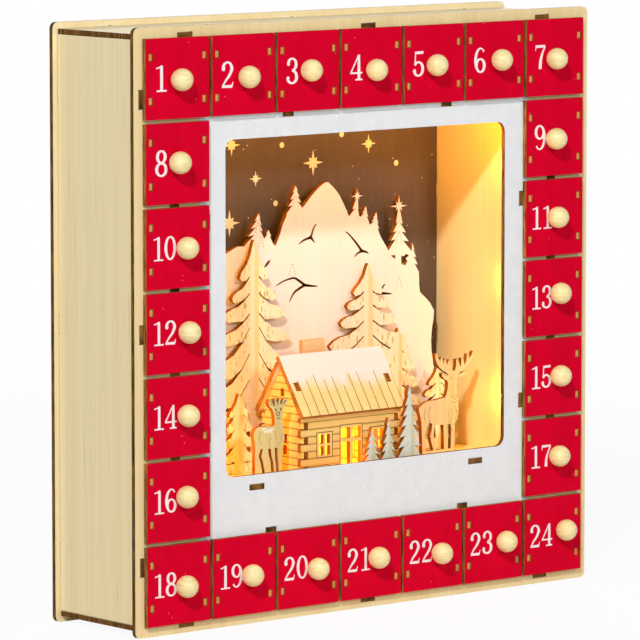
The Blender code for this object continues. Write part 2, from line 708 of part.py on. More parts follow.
def mountain():
    """Mountain plate: slopes with small firs on them, and pierced cracks."""
    foot = (FLOOR_TOP + GAP) / NICHE_HALF
    wall = 1 - GAP / NICHE_HALF
    skyline = [(-wall * NICHE_HALF, 0.04 * NICHE_HALF)]
    skyline += smooth_line(land([(-0.95, 0.09), (-0.86, 0.16), (-0.76, 0.19)]), 2)
    skyline += small_fir(*land([(-0.735, 0.195), (-0.60, 0.235), (-0.675, 0.42)]), 4)
    skyline += smooth_line(land([(-0.585, 0.245), (-0.465, 0.289), (-0.40, 0.316), (-0.355, 0.313)]), 2)
    skyline += small_fir(*land([(-0.345, 0.325), (-0.232, 0.352), (-0.262, 0.475)]), 4)
    skyline += small_fir(*land([(-0.226, 0.345), (-0.170, 0.316), (-0.200, 0.388)]), 2)
    skyline += smooth_line(land([(-0.155, 0.305), (-0.127, 0.356), (-0.107, 0.411), (-0.084, 0.446)]), 2)
    skyline += small_fir(*land([(-0.082, 0.462), (0.018, 0.484), (-0.024, 0.598)]), 4)
    skyline += smooth_line(land([(0.036, 0.499), (0.103, 0.562), (0.171, 0.603), (0.205, 0.589),
                                 (0.263, 0.531), (0.322, 0.427)]), 3)
    skyline += small_fir(*land([(0.326, 0.424), (0.392, 0.420), (0.378, 0.490)]), 2, 0.040 * NICHE_HALF)
    skyline += small_fir(*land([(0.400, 0.416), (0.456, 0.385), (0.436, 0.468)]), 3)
    skyline += small_fir(*land([(0.463, 0.372), (0.528, 0.318), (0.505, 0.434)]), 4)
    skyline += land([(0.532, 0.310), (0.587, 0.232)])
    skyline += small_fir(*land([(0.592, 0.240), (0.735, 0.226), (0.656, 0.410)]), 4, 0.057 * NICHE_HALF)
    skyline += small_fir(*land([(0.742, 0.222), (0.790, 0.112), (0.746, 0.264)]), 4)
    skyline += smooth_line(land([(0.792, 0.085), (0.797, 0.012), (0.839, -0.025), (0.893, -0.093),
                                 (0.878, -0.191), (0.876, -0.293), (0.905, -0.440), (0.935, -0.600),
                                 (0.955, foot)]), 2)
    cracks = (
        ((0.074, 0.333), (((0.082, 0.354), (0.095, 0.384), (0.115, 0.400)),
                          ((0.028, 0.322), (-0.010, 0.301)), ((0.104, 0.301),))),
        ((0.409, 0.243), (((0.368, 0.290), (0.324, 0.333), (0.299, 0.349)),
                          ((0.381, 0.233), (0.356, 0.213)), ((0.437, 0.237), (0.455, 0.226)))),
        ((0.034, 0.096), (((-0.010, 0.125), (-0.042, 0.137), (-0.108, 0.124), (-0.161, 0.100)),
                          ((0.078, 0.089), (0.123, 0.084)),
                          ((-0.027, 0.069), (-0.051, 0.042), (-0.068, 0.014)))),
        ((-0.205, 0.222), (((-0.186, 0.240),), ((-0.236, 0.194),))),
        ((0.532, 0.022), (((0.549, 0.053), (0.567, 0.067)), ((0.573, 0.016), (0.615, 0.013)),
                          ((0.501, 0.018),))))
    holes = []
    for centre, arms in cracks:
        holes.append(crack(land([centre])[0], [land(arm) for arm in arms]))
    holes.append(land([(0.600, 0.208), (0.632, 0.188), (0.632, 0.208)]))
    holes.append(land([(0.673, 0.159), (0.700, 0.151), (0.713, 0.171), (0.701, 0.188),
                       (0.725, 0.198), (0.706, 0.210), (0.689, 0.199), (0.671, 0.202)]))
    tabs = [place * NICHE_HALF for place in (-0.7, 0.0, 0.7)]
    return standing(skyline, tabs, SCENE_TAB, holes, MOUNTAIN_DEPTH)


def fir_plate(trees, tab_places, depth):
    """Plate of one or more big firs that share a foot strip."""
    foot = FLOOR_TOP + GAP
    strip_top = foot + 2 * PLY
    meshes = []
    for axis, tip, trunk, branches in trees:
        sizes = [(reach * NICHE_HALF, start * NICHE_HALF, end * NICHE_HALF, droop)
                 for reach, start, end, droop in branches]
        outline = big_fir(axis * NICHE_HALF, tip * NICHE_HALF, foot + PLY, trunk * NICHE_HALF, sizes)
        meshes.append(sheet(outline, [], depth, depth + PLY, upright))
    left = min(tree[0] for tree in trees) * NICHE_HALF - SCENE_TAB
    right = max(tree[0] for tree in trees) * NICHE_HALF + SCENE_TAB
    strip = standing([(left, strip_top), (right, strip_top)],
                     [place * NICHE_HALF for place in tab_places], SCENE_TAB, [], depth)
    return combined(strip, meshes, "UNION")


def fir_left():
    """Tall fir left of the cabin."""
    branches = ((0.092, 0.350, 0.150, 0.0), (0.143, 0.168, 0.040, 0.2), (0.200, 0.085, -0.050, 0.2),
                (0.235, -0.016, -0.165, 0.4), (0.265, -0.085, -0.330, 0.5), (0.292, -0.213, -0.480, 0.5),
                (0.312, -0.340, -0.610, 0.5))
    return fir_plate([(-0.332, 0.350, 0.029, branches)], (-0.40,), FIR_DEPTH)


def fir_right():
    """Plate of two firs right of the cabin, the left one taller."""
    tall = ((0.099, 0.185, 0.024, 0.0), (0.142, 0.041, -0.046, 0.0), (0.184, -0.029, -0.135, 0.0),
            (0.256, -0.106, -0.252, 0.1), (0.285, -0.182, -0.345, 0.3), (0.310, -0.275, -0.450, 0.3),
            (0.330, -0.375, -0.560, 0.3))
    low = ((0.070, -0.160, -0.292, 0.0), (0.112, -0.277, -0.380, 0.0), (0.142, -0.365, -0.465, 0.2),
           (0.168, -0.450, -0.560, 0.2), (0.190, -0.540, -0.660, 0.2))
    trees = [(0.411, 0.185, 0.030, tall), (0.612, -0.160, 0.026, low)]
    return fir_plate(trees, (0.40, 0.61), FIR_DEPTH)


def fir_grove():
    """Low fir behind the stag."""
    branches = ((0.066, -0.355, -0.460, 0.0), (0.093, -0.450, -0.520, 0.0), (0.115, -0.505, -0.590, 0.0),
                (0.130, -0.575, -0.665, 0.0))
    return fir_plate([(0.830, -0.355, 0.018, branches)], (0.83,), GROVE_DEPTH)


def fir_near():
    """Low fir between the doe and the tall left fir."""
    branches = ((0.064, -0.385, -0.500, 0.0), (0.078, -0.490, -0.575, 0.1), (0.092, -0.560, -0.650, 0.2),
                (0.098, -0.635, -0.728, 0.2))
    return fir_plate([(-0.549, -0.385, 0.030, branches)], (-0.549,), NEAR_FIR_DEPTH)


def snow_firs():
    """Plate of three small white firs in front of the cabin."""
    foot = FLOOR_TOP + GAP
    strip = foot + PLY
    skyline = [(-0.005 * NICHE_HALF, strip)]
    trees = ((0.064, -0.575, 0.052, 5), (0.172, -0.535, 0.050, 5), (0.308, -0.383, 0.080, 7))
    for axis, tip, half, tiers in trees:
        left, right, top = land([(axis - half, -0.745), (axis + half, -0.745), (axis, tip)])
        skyline += [(left[0], strip)] + small_fir(left, right, top, tiers) + [(right[0], strip)]
    skyline.append((0.400 * NICHE_HALF, strip))
    tabs = [0.06 * NICHE_HALF, 0.34 * NICHE_HALF]
    return standing(skyline, tabs, FIGURE_TAB, [], SNOW_FIR_DEPTH)


def figure(points, legs, tab_place, depth):
    """Deer plate: its upper outline, a foot strip and the openings between its legs."""
    return standing(land(points), [tab_place * NICHE_HALF], FIGURE_TAB, [land(leg) for leg in legs], depth)


def doe():
    """Young deer that stands left of the cabin and looks out."""
    skyline = [(-0.624, -0.760), (-0.623, -0.663), (-0.622, -0.623), (-0.627, -0.595),
               (-0.631, -0.573), (-0.631, -0.555), (-0.626, -0.539), (-0.612, -0.526), (-0.598, -0.522),
               (-0.563, -0.524), (-0.529, -0.525), (-0.504, -0.526), (-0.499, -0.520), (-0.499, -0.501),
               (-0.501, -0.479), (-0.506, -0.462), (-0.512, -0.449), (-0.518, -0.439), (-0.532, -0.428),
               (-0.538, -0.414), (-0.534, -0.398), (-0.520, -0.394), (-0.510, -0.407), (-0.499, -0.427),
               (-0.498, -0.413), (-0.502, -0.395), (-0.487, -0.392), (-0.483, -0.405), (-0.480, -0.420),
               (-0.476, -0.407), (-0.469, -0.393), (-0.459, -0.394), (-0.459, -0.408), (-0.457, -0.423),
               (-0.450, -0.409), (-0.443, -0.397), (-0.420, -0.399), (-0.424, -0.418), (-0.437, -0.433),
               (-0.445, -0.444), (-0.447, -0.462), (-0.452, -0.480), (-0.454, -0.494), (-0.450, -0.505),
               (-0.447, -0.527), (-0.442, -0.549), (-0.438, -0.571), (-0.438, -0.598), (-0.444, -0.619),
               (-0.452, -0.632), (-0.454, -0.678), (-0.455, -0.705), (-0.457, -0.760)]
    legs = [[(-0.587, -0.631), (-0.596, -0.652), (-0.601, -0.668), (-0.590, -0.698), (-0.578, -0.752),
             (-0.562, -0.752), (-0.575, -0.694), (-0.585, -0.669), (-0.581, -0.653), (-0.575, -0.632)],
            [(-0.541, -0.634), (-0.537, -0.668), (-0.527, -0.697), (-0.521, -0.752), (-0.505, -0.752),
             (-0.509, -0.706), (-0.520, -0.672), (-0.524, -0.636)],
            [(-0.499, -0.634), (-0.497, -0.680), (-0.493, -0.710), (-0.489, -0.752), (-0.474, -0.752),
             (-0.478, -0.703), (-0.482, -0.678), (-0.482, -0.635)]]
    return figure(skyline, legs, -0.54, DOE_DEPTH)


def stag():
    """Stag with broad branched antlers that stands at the right and looks out."""
    skyline = [(0.526, -0.760), (0.526, -0.713), (0.522, -0.638), (0.520, -0.601), (0.515, -0.578),
               (0.507, -0.555), (0.503, -0.536), (0.508, -0.525), (0.527, -0.513), (0.547, -0.504),
               (0.576, -0.499), (0.615, -0.498), (0.645, -0.494), (0.674, -0.491), (0.682, -0.487),
               (0.689, -0.473), (0.696, -0.448), (0.698, -0.422), (0.694, -0.406), (0.682, -0.401),
               (0.670, -0.394), (0.659, -0.382), (0.656, -0.368), (0.669, -0.366), (0.686, -0.372),
               (0.702, -0.381), (0.698, -0.373), (0.683, -0.363), (0.663, -0.352), (0.641, -0.336),
               (0.626, -0.318), (0.616, -0.297), (0.614, -0.270), (0.624, -0.262), (0.632, -0.288),
               (0.646, -0.305), (0.648, -0.292), (0.656, -0.284), (0.662, -0.300), (0.666, -0.320),
               (0.671, -0.303), (0.678, -0.294), (0.686, -0.308), (0.691, -0.330), (0.697, -0.312),
               (0.708, -0.300), (0.718, -0.322), (0.724, -0.342), (0.730, -0.358), (0.744, -0.359),
               (0.752, -0.337), (0.753, -0.303), (0.763, -0.301), (0.772, -0.321), (0.780, -0.344),
               (0.787, -0.324), (0.788, -0.300), (0.799, -0.299), (0.805, -0.320), (0.810, -0.337),
               (0.821, -0.315), (0.827, -0.281), (0.837, -0.281), (0.842, -0.306), (0.854, -0.292),
               (0.866, -0.268), (0.872, -0.286), (0.860, -0.309), (0.841, -0.331), (0.816, -0.350),
               (0.794, -0.362), (0.776, -0.372), (0.774, -0.384), (0.786, -0.374), (0.808, -0.370),
               (0.815, -0.379), (0.800, -0.393), (0.778, -0.400), (0.766, -0.406), (0.763, -0.423),
               (0.761, -0.449), (0.763, -0.475), (0.766, -0.502), (0.768, -0.547), (0.768, -0.580),
               (0.759, -0.606), (0.747, -0.629), (0.744, -0.676), (0.742, -0.713), (0.740, -0.760)]
    legs = [[(0.572, -0.609), (0.560, -0.634), (0.550, -0.659), (0.548, -0.696), (0.547, -0.752),
             (0.602, -0.752), (0.586, -0.707), (0.580, -0.676), (0.589, -0.647), (0.592, -0.616)],
            [(0.619, -0.625), (0.607, -0.645), (0.602, -0.678), (0.608, -0.709), (0.619, -0.752),
             (0.672, -0.752), (0.670, -0.688), (0.668, -0.628)],
            [(0.700, -0.628), (0.700, -0.690), (0.698, -0.752), (0.716, -0.752), (0.719, -0.692),
             (0.719, -0.629)]]
    return figure(skyline, legs, 0.635, STAG_DEPTH)


# Log cabin

def cabin_sizes():
    """Depths of the cabin's walls and ridge, and the slope of its roof."""
    eave_near = CABIN_DEPTH
    eave_far = FIR_DEPTH - CABIN_CLEAR
    ridge = (eave_near + eave_far) / 2
    run = (eave_far - eave_near) / 2
    slope = math.atan2(ROOF_RISE, run)
    wall_near = eave_near + ROOF_OVERHANG
    wall_far = eave_far - ROOF_OVERHANG - PLY
    gable = ROOF_LENGTH / 2 - ROOF_OVERHANG - PLY / 2
    wall_top = FLOOR_TOP + GAP + CABIN_WALL_HEIGHT
    under = PLY / math.cos(slope) + GAP / math.cos(slope)
    ridge_height = wall_top + under + (ridge - wall_near) * math.tan(slope)
    return {"ridge": ridge, "slope": slope, "wall_near": wall_near, "wall_far": wall_far,
            "gable": gable, "wall_top": wall_top, "ridge_height": ridge_height, "run": run}


def pane_holes(middle, rise):
    """Four panes of a small window about a middle point."""
    holes = []
    for u in (-1, 1):
        for v in (-1, 1):
            cu = middle + u * (WINDOW_PANE_WIDTH + WINDOW_BAR) / 2
            cv = rise + v * (WINDOW_PANE_HEIGHT + WINDOW_BAR) / 2
            holes.append(rectangle(cu - WINDOW_PANE_WIDTH / 2, cu + WINDOW_PANE_WIDTH / 2,
                                   cv - WINDOW_PANE_HEIGHT / 2, cv + WINDOW_PANE_HEIGHT / 2))
    return holes


def log_bands():
    """Heights of the logs above the floor; every second one runs past the corner."""
    bands = []
    low = 0.0
    while low < CABIN_WALL_HEIGHT - LOG_CHAMFER * 2:
        high = min(low + LOG_HEIGHT, CABIN_WALL_HEIGHT)
        bands.append((low, high, len(bands) % 2 == 1))
        low = high
    return bands


def log_wall(depth, with_openings):
    """Front or back wall of the cabin, with log ends that run past the gables."""
    size = cabin_sizes()
    foot = FLOOR_TOP + GAP
    short = size["gable"] - PLY / 2 - GAP
    long = size["gable"] + PLY / 2 + LOG_END
    side = []
    for low, high, runs_past in log_bands():
        if runs_past:
            side += [(short, foot + low), (long - LOG_CHAMFER, foot + low), (long, foot + low + LOG_CHAMFER),
                     (long, foot + high - LOG_CHAMFER), (long - LOG_CHAMFER, foot + high),
                     (short, foot + high)]
    if side[-1][1] < size["wall_top"] - GAP:
        side.append((short, size["wall_top"]))
    side = [(short, foot)] + side
    right = [(CABIN_X + x, z) for x, z in side]
    left = [(CABIN_X - x, z) for x, z in side]
    holes = []
    if with_openings:
        for side_sign in (-1, 1):
            holes += pane_holes(CABIN_X + side_sign * CABIN_WINDOW_OFFSET, foot + CABIN_WINDOW_RISE)
        for side_sign in (-1, 1):
            near = CABIN_X + side_sign * DOOR_BAR / 2
            far = CABIN_X + side_sign * DOOR_WIDTH / 2
            low = foot + DOOR_RISE
            cross = foot + DOOR_CROSS_RISE
            top = foot + DOOR_RISE + DOOR_HEIGHT
            holes.append(rectangle(*sorted((near, far)), low, cross - DOOR_BAR / 2))
            holes.append(rectangle(*sorted((near, far)), cross + DOOR_BAR / 2, top))
    return sheet(right + left[::-1], holes, depth, depth + PLY, upright)


def gable(side):
    """Gable wall: fingers between the log ends, a tab through each roof slope and the floor."""
    size = cabin_sizes()
    foot = FLOOR_TOP + GAP
    slope = size["slope"]
    line = CABIN_X + side * size["gable"]
    near_wall, far_wall = size["wall_near"], size["wall_far"]
    inner = near_wall + PLY + GAP
    ridge = size["ridge"]
    edge = []
    for low, high, runs_past in log_bands():
        if not runs_past:
            bottom = foot if low == 0.0 else foot + low + GAP
            top = foot + high - GAP
            edge += [(near_wall, bottom), (near_wall, top), (inner, top)]
            edge += [(inner, foot + high + LOG_HEIGHT + GAP)]
    under_ridge = size["ridge_height"] - (PLY + GAP) / math.cos(slope)
    wall_top = under_ridge - (ridge - inner) * math.tan(slope)
    edge = [point for point in edge if point[1] < wall_top - GAP]
    edge.append((inner, wall_top))
    along = (math.cos(slope), math.sin(slope))
    out = (-math.sin(slope), math.cos(slope))
    for sign in (-1, 1):
        distance = ROOF_TAB_FROM_RIDGE - sign * ROOF_TAB / 2
        roof_point = (ridge - distance * along[0], size["ridge_height"] - distance * along[1])
        if sign < 0:
            lower_out = roof_point
        else:
            upper_out = roof_point
    depth_in = PLY + GAP
    lower_in = (lower_out[0] - out[0] * depth_in, lower_out[1] - out[1] * depth_in)
    upper_in = (upper_out[0] - out[0] * depth_in, upper_out[1] - out[1] * depth_in)
    edge += [lower_in, lower_out, upper_out, upper_in]
    mirrored = [(2 * ridge - y, z) for y, z in edge]
    tab = (ridge - FIGURE_TAB / 2, ridge + FIGURE_TAB / 2)
    FLOOR_SLOTS.append((line - PLY / 2, line + PLY / 2, tab[0], tab[1]))
    bottom = [(tab[1], foot), (tab[1], FLOOR_UNDER), (tab[0], FLOOR_UNDER), (tab[0], foot)]
    outline = edge + [(ridge, under_ridge)] + mirrored[::-1] + bottom
    holes = pane_holes(ridge, foot + CABIN_WINDOW_RISE)
    slot_low = foot + LOFT_SLOT_RISE
    holes.append(rectangle(ridge - LOFT_SLOT_WIDTH / 2, ridge + LOFT_SLOT_WIDTH / 2,
                           slot_low, slot_low + LOFT_SLOT_HEIGHT))
    return sheet(outline, holes, line - PLY / 2, line + PLY / 2, sideways)


def roof(side):
    """Front (-1) or back (1) roof slope; the front one laps over the back one at the ridge."""
    size = cabin_sizes()
    slope = size["slope"]
    length = math.hypot(size["run"], ROOF_RISE)
    top = 0.0
    if side > 0:
        top = (PLY * (1 - math.cos(2 * slope)) + GAP) / math.sin(2 * slope)
    half = ROOF_LENGTH / 2
    outline = rectangle(CABIN_X - half, CABIN_X + half, -length, -top)
    holes = []
    for sign in (-1, 1):
        line = CABIN_X + sign * size["gable"]
        holes.append(rectangle(line - PLY / 2 - GAP, line + PLY / 2 + GAP,
                               -ROOF_TAB_FROM_RIDGE - ROOF_TAB / 2 - GAP,
                               -ROOF_TAB_FROM_RIDGE + ROOF_TAB / 2 + GAP))

    def tilted(u, v, w):
        depth = size["ridge"] + side * (-v * math.cos(slope) - w * math.sin(slope))
        height = size["ridge_height"] + v * math.sin(slope) - w * math.cos(slope)
        return upright(u, height, depth)

    return sheet(outline, holes, 0.0, PLY, tilted)


def chimney():
    """Flat chimney that stands on the back slope just behind the ridge."""
    size = cabin_sizes()
    depth = size["ridge"] + CHIMNEY_SETBACK
    foot = size["ridge_height"] - CHIMNEY_SETBACK * math.tan(size["slope"]) + GAP / math.cos(size["slope"])
    top = size["ridge_height"] + CHIMNEY_RISE
    middle = CABIN_X + CHIMNEY_OFFSET
    outline = rectangle(middle - CHIMNEY_WIDTH / 2, middle + CHIMNEY_WIDTH / 2, foot, top)
    return sheet(outline, [], depth, depth + PLY, upright)


# Cells, case, lid and switch

def case_span():
    """Inner left and right end of the cell bay, and its middle height."""
    length = 2 * CELL_LENGTH + SPRING_ROOM + CONTACT + 4 * GAP
    return -length / 2, length / 2, SHELF_TOP + GAP + CASE_HEIGHT / 2


def cell_opening():
    """Opening in the back panel that the lid fills."""
    left, right, middle = case_span()
    half = CASE_INNER / 2 + LID_LAP
    return left - LID_LAP, right + LID_LAP, middle - half, middle + half


def switch_middle():
    """Middle of the switch's travel, across and up."""
    _, right, middle = case_span()
    return right + CASE_WALL + SWITCH_BAY / 2, middle


def switch_slot():
    """Slot in the back panel that the switch's nub slides in."""
    across, middle = switch_middle()
    half = (SWITCH_NUB + SWITCH_TRAVEL) / 2 + GAP
    tall = SWITCH_NUB_HEIGHT / 2 + GAP
    return across - half, across + half, middle - tall, middle + tall


def battery_case():
    """Open case against the back panel: a bay for two cells in line, and one for the switch."""
    left, right, middle = case_span()
    near = FAR - CASE_INNER - CASE_WALL
    half = CASE_HEIGHT / 2
    end = right + CASE_WALL + SWITCH_BAY + CASE_WALL
    body = block((left - CASE_WALL, near, middle - half), (end, FAR, middle + half))
    inner = CASE_INNER / 2
    bay = block((left, near + CASE_WALL, middle - inner), (right, FAR + PLY, middle + inner))
    across, _ = switch_middle()
    bay_half = SWITCH_BAY / 2
    switch_bay = block((across - bay_half, near + CASE_WALL, middle - inner),
                       (across + bay_half, FAR + PLY, middle + inner))
    return combined(body, [bay, switch_bay], "DIFFERENCE")


def battery_lid():
    """Lid that closes the cell bay, flush with the back, with a notch for a fingertip."""
    left, right, low, high = cell_opening()
    left, right, low, high = left + GAP, right - GAP, low + GAP, high - GAP
    notch = []
    for step in range(LID_NOTCH_STEPS + 1):
        angle = math.pi * step / LID_NOTCH_STEPS
        notch.append((LID_NOTCH * math.cos(angle), high - LID_NOTCH * math.sin(angle)))
    outline = [(left, low), (right, low), (right, high)] + notch + [(left, high)]
    return sheet(outline, [], SKY, BACK, upright)


def cell(start):
    """Cylindrical cell with its button contact towards the right."""
    _, _, middle = case_span()
    depth = FAR - CASE_INNER / 2
    shoulder = start + CELL_LENGTH - CELL_NUB

    def along_x(along, u, v):
        return upright(along, middle + v, depth + u)

    rim = CELL_RADIUS - CELL_EDGE
    profile = [(start, 0), (start, rim), (start + CELL_EDGE, CELL_RADIUS),
               (shoulder - CELL_EDGE, CELL_RADIUS), (shoulder, rim),
               (shoulder, CELL_NUB_RADIUS), (start + CELL_LENGTH, CELL_NUB_RADIUS), (start + CELL_LENGTH, 0)]
    return turned(profile, CELL_SIDES, along_x)


def contact_plate():
    """Flat spring-metal contact behind the right-hand cell's button."""
    _, right, middle = case_span()
    depth = FAR - CASE_INNER / 2
    half = CONTACT_SIZE / 2
    near = right - GAP - CONTACT
    return block((near, depth - half, middle - half), (near + CONTACT, depth + half, middle + half))


def switch_slider():
    """Slider of the switch: a base behind the back panel and a nub in its slot, at its off end."""
    across, middle = switch_middle()
    across -= SWITCH_TRAVEL / 2
    base = block((across - SWITCH_BASE / 2, FAR - SWITCH_BASE_DEPTH, middle - SWITCH_BASE_HEIGHT / 2),
                 (across + SWITCH_BASE / 2, FAR, middle + SWITCH_BASE_HEIGHT / 2))
    nub = block((across - SWITCH_NUB / 2, FAR - SWITCH_BASE_DEPTH / 2, middle - SWITCH_NUB_HEIGHT / 2),
                (across + SWITCH_NUB / 2, BACK - GAP, middle + SWITCH_NUB_HEIGHT / 2))
    return combined(base, [nub], "UNION")


def tube(name, points, radius, colour, roughness, metallic, resolution, swells=None):
    """Wire along a line of points, closed at both ends; swells give a point's own thickness."""
    curve = bpy.data.curves.new(name, "CURVE")
    curve.dimensions = "3D"
    curve.bevel_depth = radius
    curve.bevel_resolution = resolution
    curve.use_fill_caps = True
    spline = curve.splines.new("POLY")
    spline.points.add(len(points) - 1)
    for index, point in enumerate(points):
        spline.points[index].co = (*point, 1.0)
        spline.points[index].radius = 1.0 if swells is None else swells[index]
    curve.materials.append(finish(name, colour, roughness, metallic))
    item = bpy.data.objects.new(name, curve)
    bpy.context.collection.objects.link(item)
    return item


def contact_spring():
    """Conical coil that presses on the left-hand cell, wound from one wire."""
    left, _, middle = case_span()
    depth = FAR - CASE_INNER / 2
    start = left + GAP + SPRING_WIRE
    end = left + SPRING_ROOM - GAP - SPRING_WIRE
    steps = SPRING_STEPS * SPRING_TURNS
    points = []
    for step in range(steps + 1):
        share = step / steps
        angle = 2 * math.pi * SPRING_TURNS * share
        radius = CELL_RADIUS * (SPRING_WIDE + (SPRING_NARROW - SPRING_WIDE) * share)
        along = start + (end - start) * share
        points.append(upright(along, middle + radius * math.sin(angle), depth + radius * math.cos(angle)))
    return tube("contact_spring", points, SPRING_WIRE, METAL, 0.3, 1.0, 0)


def corner_arc(before, corner, after, radius, steps=3):
    """Points round a corner of a wire, on a quarter curve that leaves both runs smoothly."""
    first = corner + (before - corner).normalized() * radius
    last = corner + (after - corner).normalized() * radius
    points = []
    for step in range(steps + 1):
        t = step / steps
        points.append(first * (1 - t) ** 2 + corner * 2 * t * (1 - t) + last * t ** 2)
    return points


def light_string():
    """Lamp wire: from the case's end, up behind the window's left rim, across, and down the right."""
    left, _, middle = case_span()
    depth = FAR - CASE_INNER / 2
    rim = PLY + GAP + LAMP_RADIUS
    side = NICHE_HALF - WIRE_INSET
    top = NICHE_HALF - WIRE_INSET
    start = Vector(upright(left - CASE_WALL - GAP, middle, depth))
    route = [start, Vector(upright(-side, middle, depth)), Vector(upright(-side, middle, rim)),
             Vector(upright(-side, top, rim)), Vector(upright(side, top, rim)),
             Vector(upright(side, FLOOR_TOP + GAP + LAMP_RADIUS, rim))]
    points = [start]
    swells = [1.0]
    lamps = [0, 0, LAMPS_PER_SIDE, LAMPS_ACROSS, LAMPS_PER_SIDE]
    swell = LAMP_RADIUS / WIRE_RADIUS
    for leg in range(len(route) - 1):
        begin, finish_point = route[leg], route[leg + 1]
        if leg:
            arc = corner_arc(route[leg - 1], begin, finish_point, WIRE_BEND)
            points += arc
            swells += [1.0] * len(arc)
        low, high = begin, finish_point
        if leg == 2:
            low = Vector(upright(-side, FLOOR_TOP, rim))
        for lamp in range(lamps[leg]):
            middle_point = low.lerp(high, (lamp + 0.5) / lamps[leg])
            forward = (high - low).normalized()
            for offset, thickness in LAMP_SHAPE:
                points.append(middle_point + forward * offset * LAMP_RADIUS)
                swells.append(thickness * swell)
    points.append(route[-1])
    swells.append(1.0)
    return tube("light_string", points, WIRE_RADIUS, (0.72, 0.45, 0.2, 1.0), 0.35, 0.0, 1, swells)


def scene_floor():
    """Floor of the scene with the slots of all that stands on it, and a corner cut for the wire."""
    reach = NICHE_HALF - GAP
    outline = between_panels(-reach, reach, (-FLOOR_TAB_OFFSET, FLOOR_TAB_OFFSET), FLOOR_TAB)
    corner = outline.index((NEAR, -reach))
    cut = (NEAR + WIRE_NOTCH, -reach + WIRE_NOTCH + WIRE_INSET)
    outline[corner:corner + 1] = [(NEAR, cut[1]), cut, (cut[0], -reach)]
    holes = []
    for x0, x1, y0, y1 in FLOOR_SLOTS:
        holes.append(rectangle(y0 - GAP, y1 + GAP, x0 - GAP, x1 + GAP))
    return sheet(outline, holes, FLOOR_UNDER, FLOOR_TOP, level)


def build():
    """Make every piece of the calendar."""
    clear_scene()
    piece("front_panel", front_panel())
    piece("back_panel", back_panel())
    piece("left_side", side_panel(-1))
    piece("right_side", side_panel(1))
    piece("top_panel", end_panel(1))
    piece("bottom_panel", end_panel(-1))
    piece("upper_rack", shelf_rack(1))
    piece("lower_rack", shelf_rack(-1))
    piece("left_rack", column_rack(-1))
    piece("right_rack", column_rack(1))
    drawers()

    piece("mountain", mountain())
    piece("fir_left", fir_left())
    piece("fir_right", fir_right())
    piece("fir_grove", fir_grove())
    piece("fir_near", fir_near())
    piece("snow_firs", snow_firs(), SNOW, 0.6)
    piece("doe", doe())
    piece("stag", stag())

    size = cabin_sizes()
    piece("cabin_front_wall", log_wall(size["wall_near"], True))
    piece("cabin_back_wall", log_wall(size["wall_far"], False))
    piece("cabin_left_gable", gable(-1))
    piece("cabin_right_gable", gable(1))
    piece("cabin_roof_front", roof(-1), WHITE, 0.6)
    piece("cabin_roof_back", roof(1), WHITE, 0.6)
    piece("cabin_chimney", chimney())
    piece("scene_floor", scene_floor())

    left, _, _ = case_span()
    first = left + SPRING_ROOM + GAP
    piece("battery_case", battery_case(), BLACK, 0.5)
    lid_origin = (0.0, FRONT_Y + SKY, PANEL_HALF + case_span()[2])
    piece("battery_lid", recentred(battery_lid(), lid_origin), BARE, origin=lid_origin)
    piece("cell_1", cell(first), STEEL, 0.35, 0.6, smooth=True)
    piece("cell_2", cell(first + CELL_LENGTH + GAP), STEEL, 0.35, 0.6, smooth=True)
    piece("contact_plate", contact_plate(), METAL, 0.3, 1.0)
    contact_spring()
    across, middle = switch_middle()
    slider_origin = (across - SWITCH_TRAVEL / 2, FRONT_Y + FAR, PANEL_HALF + middle)
    piece("switch_slider", recentred(switch_slider(), slider_origin), BLACK, 0.4, origin=slider_origin)
    light_string()


build()
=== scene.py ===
"""Looks of the wooden advent calendar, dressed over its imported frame, in metres."""
import math

import bmesh
import bpy
import numpy as np
from mathutils import Matrix, Vector


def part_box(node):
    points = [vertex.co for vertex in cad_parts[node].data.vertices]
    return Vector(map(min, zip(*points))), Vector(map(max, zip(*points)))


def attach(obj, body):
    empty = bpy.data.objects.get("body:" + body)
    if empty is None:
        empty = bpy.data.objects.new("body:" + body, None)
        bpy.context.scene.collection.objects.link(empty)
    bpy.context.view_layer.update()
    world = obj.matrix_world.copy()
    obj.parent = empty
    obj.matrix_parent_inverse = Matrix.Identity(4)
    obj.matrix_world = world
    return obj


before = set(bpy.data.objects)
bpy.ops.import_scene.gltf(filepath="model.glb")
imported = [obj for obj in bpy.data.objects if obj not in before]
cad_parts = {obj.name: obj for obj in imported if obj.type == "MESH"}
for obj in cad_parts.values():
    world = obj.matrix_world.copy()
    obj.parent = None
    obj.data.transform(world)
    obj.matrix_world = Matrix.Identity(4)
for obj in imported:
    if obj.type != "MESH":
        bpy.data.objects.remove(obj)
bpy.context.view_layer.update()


# The case: a front and a back panel with four narrow sheets between them, all laser-cut
# from 2.5 mm plywood, so every cut edge is scorched brown. The front panel is sprayed white
# with glitter round the window and left bare under the drawers.

MM = 0.001
PANEL_LOW, PANEL_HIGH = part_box("front_panel")
FRONT = PANEL_LOW[1]
MIDDLE = (PANEL_LOW[2] + PANEL_HIGH[2]) / 2


class Term:
    """A number that changes over a surface, so that shader maths reads as arithmetic."""

    def __init__(self, nodes, socket):
        self.nodes = nodes
        self.socket = socket

    def __add__(self, other):
        return self.nodes.math("ADD", self, other)

    __radd__ = __add__

    def __sub__(self, other):
        return self.nodes.math("SUBTRACT", self, other)

    def __rsub__(self, other):
        return self.nodes.math("SUBTRACT", other, self)

    def __mul__(self, other):
        return self.nodes.math("MULTIPLY", self, other)

    __rmul__ = __mul__

    def __gt__(self, other):
        return self.nodes.math("GREATER_THAN", self, other)

    def __lt__(self, other):
        return self.nodes.math("LESS_THAN", self, other)

    def __or__(self, other):
        return self.nodes.math("MAXIMUM", self, other)

    def __abs__(self):
        return self.nodes.math("ABSOLUTE", self)


